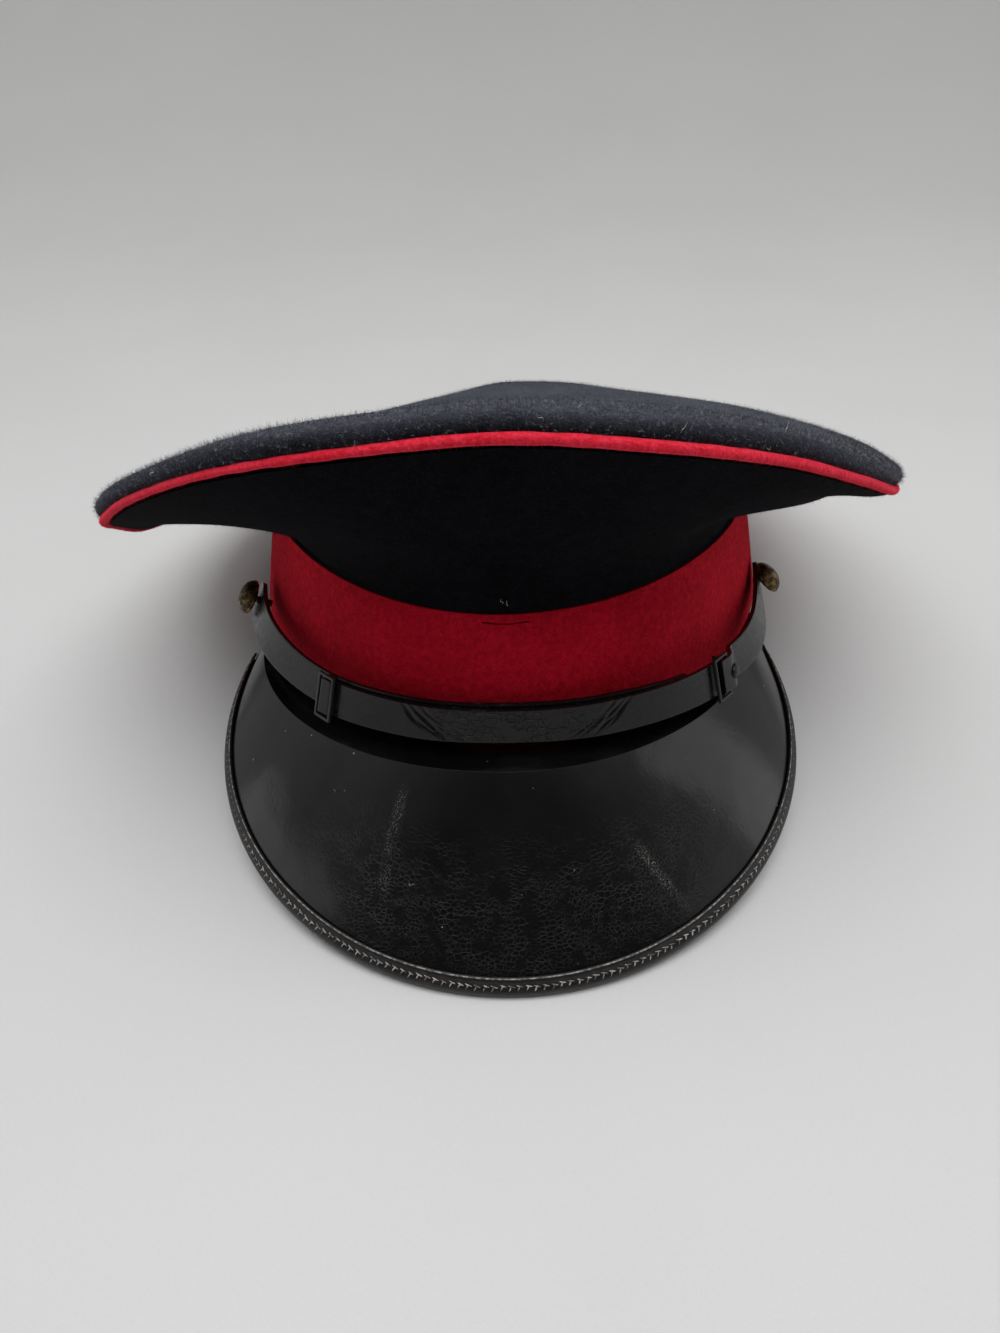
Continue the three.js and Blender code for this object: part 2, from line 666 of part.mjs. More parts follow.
// Rivet through the right strap
function makeRivet() {
  const face = STRAP_WALL + GAP;
  const profile = [
    [0, -GAP - RIVET_HEIGHT / 2],
    [RIVET_RADIUS, -GAP - RIVET_HEIGHT / 2],
    [RIVET_RADIUS, -GAP],
    [RIVET_SHANK, -GAP],
    [RIVET_SHANK, face],
    [RIVET_RADIUS, face],
    [RIVET_RADIUS, face + RIVET_HEIGHT / 2],
    [RIVET_TOP_RADIUS, face + RIVET_HEIGHT],
    [0, face + RIVET_HEIGHT],
  ];
  return turned(profile, RIVET_TURN, 0, HOLE_SEGMENTS);
}

// Lowest height of a geometry once the cap is tipped back by an angle
function lowest(geometry, tilt) {
  const place = geometry.attributes.position;
  let low = Infinity;
  for (let i = 0; i < place.count; i += 1) {
    low = Math.min(low, place.getZ(i) * Math.cos(tilt) - place.getY(i) * Math.sin(tilt));
  }
  return low;
}

// Tilt at which the back of the band and the peak's binding stand level
function restTilt(band, binding) {
  let low = 0;
  let high = THREE.MathUtils.degToRad(MOST_TILT);
  for (let i = 0; i < TILT_HALVINGS; i += 1) {
    const middle = (low + high) / 2;
    if (lowest(binding, middle) < lowest(band, middle)) {
      low = middle;
    } else {
      high = middle;
    }
  }
  return low;
}

const wholeBand = makeBand();
const wholeBinding = makeBinding();
const tilt = restTilt(wholeBand, wholeBinding);
const floorHeight = lowest(wholeBand, tilt) + REST_FLAT;
const table = new THREE.BoxGeometry(TABLE_SIZE, TABLE_SIZE, TABLE_THICKNESS);
table.translate(0, 0, floorHeight - TABLE_THICKNESS / 2).rotateX(tilt);

const PIECES = [
  { name: 'crown_top', geometry: makeTop(), material: CLOTH_MATERIAL },
  { name: 'quarter_front_left', geometry: makePanel(-90, 0), material: CLOTH_MATERIAL },
  { name: 'quarter_front_right', geometry: makePanel(0, 90), material: CLOTH_MATERIAL },
  { name: 'quarter_back_left', geometry: makePanel(-180, -90), material: CLOTH_MATERIAL },
  { name: 'quarter_back_right', geometry: makePanel(90, 180), material: CLOTH_MATERIAL },
  { name: 'piping', geometry: makePiping(), material: RED_MATERIAL },
  { name: 'band', geometry: cut(wholeBand, table), material: RED_MATERIAL },
  { name: 'peak', geometry: makePeak(), material: PATENT_MATERIAL },
  { name: 'peak_binding', geometry: cut(wholeBinding, table), material: BINDING_MATERIAL },
  { name: 'strap_left', geometry: makeStrapLeft(), material: PATENT_MATERIAL },
  { name: 'strap_front', geometry: makeStrapFront(), material: PATENT_MATERIAL },
  { name: 'strap_right', geometry: makeStrapRight(), material: PATENT_MATERIAL },
  { name: 'slide_left', geometry: makeSlide(SLIDE_LEFT_TURN), material: METAL_MATERIAL },
  { name: 'slide_right', geometry: makeSlide(SLIDE_RIGHT_TURN), material: METAL_MATERIAL },
  { name: 'strap_rivet', geometry: makeRivet(), material: METAL_MATERIAL },
  { name: 'button_left', geometry: makeButton(STRAP_LEFT_TURN), material: BRASS_MATERIAL },
  { name: 'button_right', geometry: makeButton(STRAP_RIGHT_TURN), material: BRASS_MATERIAL },
];

const cap = new THREE.Group();
cap.name = 'peaked_cap';
for (const { name, geometry, material } of PIECES) {
  const mesh = new THREE.Mesh(geometry, material);
  mesh.name = name;
  cap.add(mesh);
}

// Tip the cap onto its rest and centre it on the table
cap.rotation.x = -tilt;
cap.updateMatrixWorld(true);
const extent = new THREE.Box3().setFromObject(cap, true);
const middle = extent.getCenter(new THREE.Vector3());
cap.position.set(-middle.x, -middle.y, -extent.min.z);
cap.updateMatrixWorld(true);

export default cap;
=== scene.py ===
"""Peaked cap: its cloth, leather and metal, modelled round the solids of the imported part.

Sizes are in millimetres in the cap's own frame, whose height starts at the lower edge of the band.
A turn is an angle round the head in degrees: 0 at the front, 90 at +X, -90 at -X, 180 at the back.
"""
import logging
import math
from dataclasses import dataclass
from enum import Enum, IntEnum
from typing import Callable, NamedTuple, Optional, Sequence, Union

import bpy
import numpy as np
from mathutils import Matrix, Vector


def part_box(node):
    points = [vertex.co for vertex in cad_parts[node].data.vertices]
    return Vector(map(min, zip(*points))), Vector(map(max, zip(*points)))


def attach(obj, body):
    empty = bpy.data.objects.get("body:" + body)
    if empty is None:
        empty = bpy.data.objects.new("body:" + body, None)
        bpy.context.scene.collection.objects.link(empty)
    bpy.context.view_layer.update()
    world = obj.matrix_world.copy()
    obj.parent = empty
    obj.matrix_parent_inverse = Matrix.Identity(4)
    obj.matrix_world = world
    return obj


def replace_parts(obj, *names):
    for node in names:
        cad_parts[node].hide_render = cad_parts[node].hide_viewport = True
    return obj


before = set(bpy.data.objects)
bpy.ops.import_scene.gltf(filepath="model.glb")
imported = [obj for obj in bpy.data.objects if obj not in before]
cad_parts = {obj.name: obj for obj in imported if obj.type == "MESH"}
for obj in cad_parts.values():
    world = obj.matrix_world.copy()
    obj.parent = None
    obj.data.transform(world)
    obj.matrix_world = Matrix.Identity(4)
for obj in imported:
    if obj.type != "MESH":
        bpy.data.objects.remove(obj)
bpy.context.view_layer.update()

LOG = logging.getLogger("peaked_cap")
MM = 0.001
BODY = "root"
HALF_TURN = 180
FULL_TURN = 360
INSIDE_BAND = (0, 0, 20)
INSIDE_CROWN = (0, 0, 100)
UNDER_PEAK = (0, -40, -150)

Colour = tuple[float, float, float]
Triple = tuple[float, float, float]
Place = Callable[[np.ndarray, np.ndarray], np.ndarray]


class Slot(Enum):
    """Names of material slots; Bench.dress takes one for each piece but does not use it."""

    DARK_CLOTH = "dark_cloth"
    RED_CLOTH = "red_cloth"
    RED_PIPING = "red_piping"
    PATENT = "patent_leather"
    BINDING = "binding_leather"
    STRAP = "strap_leather"
    METAL = "black_metal"
    BRASS = "button_brass"


class Seed(IntEnum):
    """Seeds of the random draws."""

    TOP_NAP = 1
    ROLL_NAP = 2
    TOP_RIPPLE = 4
    STITCHES = 5
    BAND_RIPPLE = 7
    CREASES = 8
    QUARTER_NAP = 10
    PIPING_RIPPLE = 11
    LINT = 14
    PIPING_NAP = 20
    BAND_NAP = 30


class Corner(Enum):
    """Angle, in degrees, above which a corner stays sharp in the shading."""

    CLOTH = 40
    LEATHER = 50
    SHEET = 60
    ROUND = 80


class CrownRow(NamedTuple):
    """Crown at a turn: rise of the piping above the band, and how far the side panel is drawn in."""

    turn: float
    rise: float
    hollow: float


class StrapRow(NamedTuple):
    """Strap at a turn: distance off the band, height of its middle, and lean of its face."""

    turn: float
    standoff: float
    middle: float
    lean: float


CROWN = (
    CrownRow(-180, -6.6, 0),
    CrownRow(-165, -12.5, 0),
    CrownRow(-150, -17, 0),
    CrownRow(-135, -20.3, 0),
    CrownRow(-120, -23.2, 0),
    CrownRow(-105, -22.5, 1.5),
    CrownRow(-90, -16, 3),
    CrownRow(-75, -1.2, 4),
    CrownRow(-60, 13.2, 4.5),
    CrownRow(-45, 29, 4.3),
    CrownRow(-30, 42, 4.2),
    CrownRow(-15, 50.1, 3),
    CrownRow(0, 53.9, 2),
    CrownRow(15, 50.1, 3),
    CrownRow(30, 42, 4.5),
    CrownRow(45, 29.5, 6.4),
    CrownRow(60, 16.5, 8),
    CrownRow(75, 7.2, 7),
    CrownRow(90, 1.5, 6),
    CrownRow(105, -2.6, 3.5),
    CrownRow(120, -6.4, 1),
    CrownRow(135, -8.8, 0.5),
    CrownRow(150, -9, 0),
    CrownRow(165, -6.8, 0),
    CrownRow(180, -6.6, 0),
)

STRAP = (
    StrapRow(-80, 3.2, 9.5, 30),
    StrapRow(-60, 7.2, 7.5, 29),
    StrapRow(-40, 6.3, 6, 18),
    StrapRow(-20, 3, 6.7, 7),
    StrapRow(0, 1.2, 7.5, 0),
    StrapRow(20, 3, 6.5, 6),
    StrapRow(40, 6, 5, 13),
    StrapRow(60, 6.6, 3.5, 26),
    StrapRow(80, 0.8, 9.5, 14),
)


def curve(values: Sequence, share: np.ndarray) -> np.ndarray:
    """Read a smooth curve through evenly spaced values.

    Args:
        values: numbers or rows of numbers, evenly spaced along the curve.
        share: how far along to read, from 0 to 1.

    Returns:
        The value or row at each share.
    """
    rows = np.asarray(values, float)
    last = len(rows) - 1
    at = np.clip(np.asarray(share, float), 0, 1) * last
    i = np.minimum(at.astype(int), last - 1)
    w = at - i
    if rows.ndim > 1:
        w = w[..., None]
    before, here = rows[np.maximum(i - 1, 0)], rows[i]
    there, after = rows[i + 1], rows[np.minimum(i + 2, last)]
    leave, arrive = (there - before) / 2, (after - here) / 2
    cubic = 2 * here - 2 * there + leave + arrive
    square = -3 * here + 3 * there - 2 * leave - arrive
    return cubic * w**3 + square * w**2 + leave * w + here


def read(table: Sequence[NamedTuple], column: str, turn: np.ndarray) -> np.ndarray:
    """Read one column of a table of evenly spaced turns, smoothly."""
    first, last = table[0].turn, table[-1].turn
    values = [getattr(row, column) for row in table]
    return curve(values, (np.asarray(turn, float) - first) / (last - first))


def unit(vectors: np.ndarray) -> np.ndarray:
    """Vectors at length 1."""
    return vectors / np.linalg.norm(vectors, axis=-1, keepdims=True)


def bump_shape(value: np.ndarray) -> np.ndarray:
    """Smooth bump that is 1 at 0 and falls to 0 a few units away."""
    return np.exp(-value**2)


def ripple(points: np.ndarray, wavelength: float, seed: Seed, count: int = 9) -> np.ndarray:
    """Smooth random relief from a few plane waves.

    Args:
        points: places to read.
        wavelength: usual length of a wave, in the unit of the points.
        seed: seed of the waves' directions.
        count: number of waves.

    Returns:
        Heights that mostly lie between -1 and 1.
    """
    draw = np.random.default_rng(seed)
    directions = unit(draw.normal(size=(count, 3)))
    lengths = wavelength * draw.uniform(0.7, 1.6, count)
    phases = draw.uniform(0, 2 * math.pi, count)
    waves = np.sin(points @ directions.T * (2 * math.pi / lengths) + phases)
    return waves.mean(-1) * 2


@dataclass(frozen=True)
class Oval:
    """Plan outline that may be narrower at the front."""

    left_width: float
    right_width: float
    half_length: float
    taper: float

    def width(self, turn: np.ndarray) -> np.ndarray:
        """Half width on the side of each turn."""
        return np.where(turn < 0, self.left_width, self.right_width)

    def normal(self, turn: np.ndarray) -> np.ndarray:
        """Unit vectors that point out of the oval."""
        a = np.radians(turn)
        along_x = self.width(turn) * (np.cos(a) - self.taper * np.cos(2 * a))
        along_y = self.half_length * np.sin(a)
        return unit(np.stack([along_y, -along_x, np.zeros_like(a)], -1))

    def point(self, turn: np.ndarray, offset: np.ndarray, height: np.ndarray) -> np.ndarray:
        """Points at turns, moved out by an offset and up to a height."""
        a = np.radians(turn)
        x = self.width(turn) * np.sin(a) * (1 - self.taper * np.cos(a))
        y = -self.half_length * np.cos(a)
        z = np.broadcast_to(np.asarray(height, float), x.shape)
        offset = np.broadcast_to(np.asarray(offset, float), x.shape)
        return np.stack([x, y, z], -1) + self.normal(turn) * offset[..., None]


@dataclass(frozen=True)
class CapShape:
    """Driving sizes of the cap and the surfaces that follow from them."""

    head: Oval = Oval(80.5, 83.6, 105.5, 0.15)
    rim: Oval = Oval(130.5, 125, 134, 0)
    gap: float = 0.3
    rest_tilt: float = 13.0377
    band_height: float = 37.5
    band_back_drop: float = 7
    band_drop_turn: float = 60
    band_flare_ends: float = 2.5
    band_flare_sides: float = 7
    band_wall: float = 2.4
    cloth: float = 2
    piping_radius: float = 1.5
    knee_rise: float = 2
    panel_draw: float = 9.48
    dent: float = 3.3
    dent_turn: float = 58
    dent_width: float = 12
    dent_share: float = 0.77
    dent_height: float = 0.1
    top_fullness: float = 7
    top_waves: int = 6
    wave_step: float = 7.5
    peak_turn: float = 73.5
    peak_bulge: float = 2
    edge_half_width: float = 90.6
    edge_half_length: float = 82.5
    edge_centre_y: float = -62
    edge_turn: float = 111
    edge_drop: float = 55.7
    edge_slope: float = 0.409

    def tipped(self, points: np.ndarray) -> np.ndarray:
        """Points once the cap is tipped back onto its rest."""
        a = math.radians(self.rest_tilt)
        x, y, z = np.moveaxis(points, -1, 0)
        return np.stack([x, y * math.cos(a) + z * math.sin(a), z * math.cos(a) - y * math.sin(a)], -1)

    def shift(self) -> np.ndarray:
        """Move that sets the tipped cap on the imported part, found from the box of its band."""
        turn = np.linspace(-HALF_TURN, HALF_TURN, FULL_TURN + 1)
        level = np.zeros_like(turn)
        edges = [self.band_point(turn, level, height) for height in (level, self.band_top(turn))]
        line = self.tipped(np.concatenate(edges))
        low, high = (np.array(corner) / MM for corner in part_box("band"))
        move = (low + high - line.min(0) - line.max(0)) / 2
        move[2] = high[2] - line[:, 2].max()
        return move

    def metres(self, points: np.ndarray) -> np.ndarray:
        """Points of the cap's frame in the part's frame, no lower than the table, in metres."""
        placed = self.tipped(points) + self.shift()
        placed[..., 2] = np.maximum(placed[..., 2], 0)
        return placed * MM

    def band_point(self, turn: np.ndarray, offset: np.ndarray, height: np.ndarray) -> np.ndarray:
        """Points off the outer face of the band, which flares to its lower edge."""
        side = np.sin(np.radians(turn)) ** 2
        flare = self.band_flare_ends + (self.band_flare_sides - self.band_flare_ends) * side
        return self.head.point(turn, offset + flare * (1 - np.maximum(height, 0) / self.band_height), height)

    def band_top(self, turn: np.ndarray) -> np.ndarray:
        """Height of the top edge of the band, which dips towards the back."""
        share = np.clip((np.abs(turn) - self.band_drop_turn) / (HALF_TURN - self.band_drop_turn), 0, 1)
        return self.band_height - self.band_back_drop * share * share * (3 - 2 * share)

    def rim_centre(self, turn: np.ndarray) -> np.ndarray:
        """Centre line of the piping."""
        return self.rim.point(turn, 0, self.band_height + read(CROWN, "rise", turn))

    def panel_point(self, turn: np.ndarray, share: np.ndarray) -> np.ndarray:
        """Points on the outer face of a side panel, from its knee at the band to the piping."""
        knee = self.band_point(turn, -self.cloth / 2, self.band_top(turn) + self.knee_rise)
        centre = self.rim_centre(turn)
        slope = unit(centre - knee)
        end = centre - slope * (self.piping_radius + self.gap)
        level = unit(slope * np.array([1, 1, 0]))
        inward = level * -slope[..., 2:]
        inward[..., 2] = (level * slope).sum(-1)
        draw = self.panel_draw * share * (1 - share) ** 3 * read(CROWN, "hollow", turn) - self.cloth / 2
        round_dent = bump_shape((turn - self.dent_turn) / self.dent_width)
        draw = draw + self.dent * round_dent * bump_shape((share - self.dent_share) / self.dent_height)
        return knee + (end - knee) * share[..., None] + inward * draw[..., None]

    def top_waves_of(self) -> list[tuple[int, float, float]]:
        """Wave heights of the rim: wave number, cosine part and sine part."""
        turns = np.arange(-HALF_TURN, HALF_TURN, self.wave_step)
        rises = read(CROWN, "rise", turns)
        waves = []
        for wave in range(self.top_waves + 1):
            weight = (1 if wave == 0 else 2) / len(turns)
            a = np.radians(wave * turns)
            waves.append((wave, weight * (rises * np.cos(a)).sum(), weight * (rises * np.sin(a)).sum()))
        return waves

    def top_rise(self, turn: np.ndarray, share: np.ndarray) -> np.ndarray:
        """Rise of the top panel, which hangs from the rim like a drum skin, from its middle to the roll."""
        drum, edge = np.zeros_like(turn), read(CROWN, "rise", turn)
        for wave, cosine, sine in self.top_waves_of():
            height = cosine * np.cos(np.radians(wave * turn)) + sine * np.sin(np.radians(wave * turn))
            drum = drum + height * share**wave
            edge = edge - height
        return drum + edge * share ** (self.top_waves + 1) + self.top_fullness * (1 - share**self.top_waves)

    def edge_point(self, across: np.ndarray) -> np.ndarray:
        """Edge of the peak's top face, across from one corner at -1 to the other at 1."""
        a = np.radians(across * self.edge_turn)
        x = self.edge_half_width * np.sin(a)
        y = self.edge_centre_y - self.edge_half_length * np.cos(a)
        tip = self.edge_centre_y - self.edge_half_length
        return np.stack([x, y, self.edge_slope * (y - tip) - self.edge_drop], -1)

    def peak_point(self, across: np.ndarray, out: np.ndarray) -> np.ndarray:
        """Points on the peak's top face, out from the band to the edge."""
        turn = across * self.peak_turn
        root = self.band_point(turn, -self.gap, np.full_like(turn, -self.gap))
        bulge = self.peak_bulge * math.sqrt(0.5) * 4 * out * (1 - out) * (1 - across**2)
        point = root + (self.edge_point(across) - root) * out[..., None]
        return point + (self.head.normal(turn) + np.array([0, 0, 1])) * bulge[..., None]

    def peak_axes(self, across: np.ndarray, out: np.ndarray) -> tuple[np.ndarray, np.ndarray]:
        """Unit vectors on the peak: out towards its edge, and off its top face."""
        step = 0.01
        along = unit(self.peak_point(across, out) - self.peak_point(across, out - step))
        side = unit(self.peak_point(across + step, out) - self.peak_point(across - step, out))
        return along, unit(np.cross(along, side))

    def strap_frame(self, turn: np.ndarray) -> tuple[np.ndarray, ...]:
        """Middle of the strap's inner face, and unit vectors along it, up its width and off its face."""
        lean = np.radians(read(STRAP, "lean", turn))[..., None]
        level, rise = self.head.normal(turn), np.array([0.0, 0.0, 1.0])
        up = rise * np.cos(lean) - level * np.sin(lean)
        off = level * np.cos(lean) + rise * np.sin(lean)
        centre = self.band_point(turn, read(STRAP, "standoff", turn), read(STRAP, "middle", turn))
        return centre, np.cross(up, off), up, off

    def strap_matrix(self, turn: float) -> Matrix:
        """Matrix that carries a piece modelled in metres about the origin onto the strap at a turn."""
        centre, along, up, off = (v[0] for v in self.strap_frame(np.array([float(turn)])))
        middle = self.metres(centre[None])[0]
        axes = [self.tipped(v[None])[0] for v in (along, up, off)]
        return Matrix([[axes[0][i], axes[1][i], axes[2][i], middle[i]] for i in range(3)] + [[0, 0, 0, 1]])

    def degree_length(self, turn: float) -> float:
        """Length along the strap for one degree of turn."""
        ends = self.strap_frame(np.array([turn - 0.5, turn + 0.5]))[0]
        return float(np.linalg.norm(ends[1] - ends[0]))


SHAPE = CapShape()


class Value:
    """A shader number that Python's operators work on."""

    def __init__(self, paint: "Paint", socket: bpy.types.NodeSocket) -> None:
        """Wrap a socket of a paint's node tree."""
        self.paint = paint
        self.socket = socket

    def _math(self, operation: str, *terms: Union["Value", float]) -> "Value":
        """Add a Math node on terms."""
        return self.paint.node("ShaderNodeMath", {"operation": operation}, dict(enumerate(terms)))

    def __add__(self, other: Union["Value", float]) -> "Value":
        """Sum."""
        return self._math("ADD", self, other)

    def __sub__(self, other: Union["Value", float]) -> "Value":
        """Difference."""
        return self._math("SUBTRACT", self, other)

    def __mul__(self, other: Union["Value", float]) -> "Value":
        """Product."""
        return self._math("MULTIPLY", self, other)

    def __rsub__(self, other: float) -> "Value":
        """Difference from a number."""
        return self._math("SUBTRACT", other, self)

    __radd__ = __add__
    __rmul__ = __mul__

    def most(self, other: Union["Value", float]) -> "Value":
        """The larger of two."""
        return self._math("MAXIMUM", self, other)

    def least(self, other: Union["Value", float]) -> "Value":
        """The smaller of two."""
        return self._math("MINIMUM", self, other)

    def size(self) -> "Value":
        """The value without its sign."""
        return self._math("ABSOLUTE", self)

    def between(self, low: float, high: float) -> "Value":
        """Smooth step that is 0 at low and 1 at high, which may be the smaller."""
        settings = {"interpolation_type": "SMOOTHSTEP", "clamp": True}
        if low < high:
            return self.paint.node("ShaderNodeMapRange", settings, {0: self, 1: low, 2: high})
        return 1 - self.paint.node("ShaderNodeMapRange", settings, {0: self, 1: high, 2: low})


class Paint:
    """Node tree of a material or of the world, built by calls."""

    def __init__(self, name: str, holder: Optional[bpy.types.ID] = None) -> None:
        """Start an empty node tree in a holder, or else in a new material."""
        self.holder = holder or bpy.data.materials.new(name)
        self.holder.use_nodes = True
        self.tree = self.holder.node_tree
        self.tree.nodes.clear()

    def node(self, kind: str, settings: dict, inputs: dict, output: Union[int, str] = 0) -> Value:
        """Add a node.

        Args:
            kind: node type.
            settings: attributes that are set before the sockets.
            inputs: values or links by socket name or number.
            output: socket to hand back.

        Returns:
            The output socket.
        """
        made = self.tree.nodes.new(kind)
        for name, value in settings.items():
            setattr(made, name, value)
        for key, value in inputs.items():
            self.feed(made.inputs[key], value)
        return Value(self, made.outputs[output])

    def feed(self, socket: bpy.types.NodeSocket, value: object) -> None:
        """Link a value to a socket or set it there."""
        if isinstance(value, Value):
            self.tree.links.new(value.socket, socket)
        elif isinstance(value, tuple) and len(value) == 3 and socket.type == "RGBA":
            socket.default_value = (*value, 1)
        else:
            socket.default_value = value

    def place(self, stretch: Triple = (1, 1, 1), turn: Triple = (0, 0, 0), source: str = "Object") -> Value:
        """Coordinates of the surface, turned in radians and stretched."""
        at = self.node("ShaderNodeTexCoord", {}, {}, source)
        if stretch == (1, 1, 1) and turn == (0, 0, 0):
            return at
        return self.node("ShaderNodeMapping", {}, {"Vector": at, "Rotation": turn, "Scale": stretch})

    def part(self, at: Value, axis: str) -> Value:
        """One coordinate of a place."""
        return self.node("ShaderNodeSeparateXYZ", {}, {0: at}, axis)

    def noise(self, at: Value, scale: float, detail: float = 2, rough: float = 0.5) -> Value:
        """Cloudy noise from 0 to 1."""
        inputs = {"Vector": at, "Scale": scale, "Detail": detail, "Roughness": rough}
        return self.node("ShaderNodeTexNoise", {}, inputs)

    def cells(self, at: Value, scale: float, feature: str = "F1") -> Value:
        """Distance in a field of random cells."""
        inputs = {"Vector": at, "Scale": scale}
        return self.node("ShaderNodeTexVoronoi", {"feature": feature}, inputs, "Distance")

    def mix(self, share: Value, first: Union[Value, Colour], second: Union[Value, Colour]) -> Value:
        """Blend of two colours."""
        return self.node("ShaderNodeMix", {"data_type": "RGBA"}, {0: share, 6: first, 7: second}, 2)

    def relief(self, height: Value, distance: float, strength: float = 1,
               under: Optional[Value] = None) -> Value:
        """Bumped normal from a height."""
        inputs = {"Height": height, "Distance": distance, "Strength": strength}
        if under is not None:
            inputs["Normal"] = under
        return self.node("ShaderNodeBump", {}, inputs)

    def finish(self, sockets: dict) -> bpy.types.Material:
        """Close the material with a surface of these sockets."""
        self.close("ShaderNodeOutputMaterial", self.node("ShaderNodeBsdfPrincipled", {}, sockets))
        return self.holder

    def close(self, kind: str, surface: Value) -> None:
        """Link a surface to an output node."""
        self.tree.links.new(surface.socket, self.tree.nodes.new(kind).inputs["Surface"])


@dataclass(frozen=True)
class WoolFinish:
    """Napped wool cloth."""

    name: str
    deep: Colour
    pale: Colour
    sheen: float
    sheen_tint: Colour = (1, 1, 1)
    gloss: float = 0.05
    grain: float = 1300
    nap_relief: float = 0.0005
    # Colours for the rim stand in for how light falls there: painted shade where they are darker, painted
    # light where they are paler
    rim: Optional[tuple[Colour, Colour]] = None
    rim_axis: str = "Y"
    rim_middle: float = 0
    rim_start: tuple[float, float] = (0.6, 0.78)
    rough: float = 0.95
    sheen_rough: float = 0.4
    cloud_scale: float = 45
    fibre_share: float = 0.55
    relief_share: float = 0.6
    cloud_share: float = 0.25

    def make(self) -> bpy.types.Material:
        """Material with felted fibres, cloudy colour, a soft sheen and, at need, other colours at its rim
        that paint light and shade there.
        """
        paint = Paint(self.name)
        at = paint.place()
        fibre = paint.noise(at, self.grain, 4, 0.7)
        tuft = paint.noise(at, self.grain / 4, 3, 0.6)
        cloud = paint.noise(at, self.cloud_scale, 2)
        felt = (fibre * self.fibre_share + tuft * (1 - self.fibre_share)).between(0.35, 0.68)
        share = felt * (1 - self.cloud_share) + cloud.between(0.3, 0.75) * self.cloud_share
        pile = fibre * self.relief_share + tuft * (1 - self.relief_share)
        colour = paint.mix(share, self.deep, self.pale)
        # Painted light and shade: the rim's colours are mixed in by a mask along one UV axis
        if self.rim:
            away = (paint.part(paint.place(source="UV"), self.rim_axis) - self.rim_middle).size()
            edge = away.between(*self.rim_start)
            colour = paint.mix(edge, colour, paint.mix(share, *self.rim))
        return paint.finish({
            "Base Color": colour,
            "Roughness": self.rough,
            "Specular IOR Level": self.gloss,
            "Sheen Weight": self.sheen,
            "Sheen Roughness": self.sheen_rough,
            "Sheen Tint": self.sheen_tint,
            "Normal": paint.relief(pile, self.nap_relief),
        })


@dataclass(frozen=True)
class FibreFinish:
    """Loose fibres that stand off the cloth."""

    name: str
    deep: Colour
    pale: Colour
    bright_share: tuple[float, float] = (0.35, 0.7)
    grain: float = 900
    rough: float = 0.75
    gloss: float = 0.25

    def make(self) -> bpy.types.Material:
        """Material whose colour changes from fibre to fibre."""
        paint = Paint(self.name)
        share = paint.noise(paint.place(), self.grain, 1).between(*self.bright_share)
        return paint.finish({
            "Base Color": paint.mix(share, self.deep, self.pale),
            "Roughness": self.rough,
            "Specular IOR Level": self.gloss,
        })


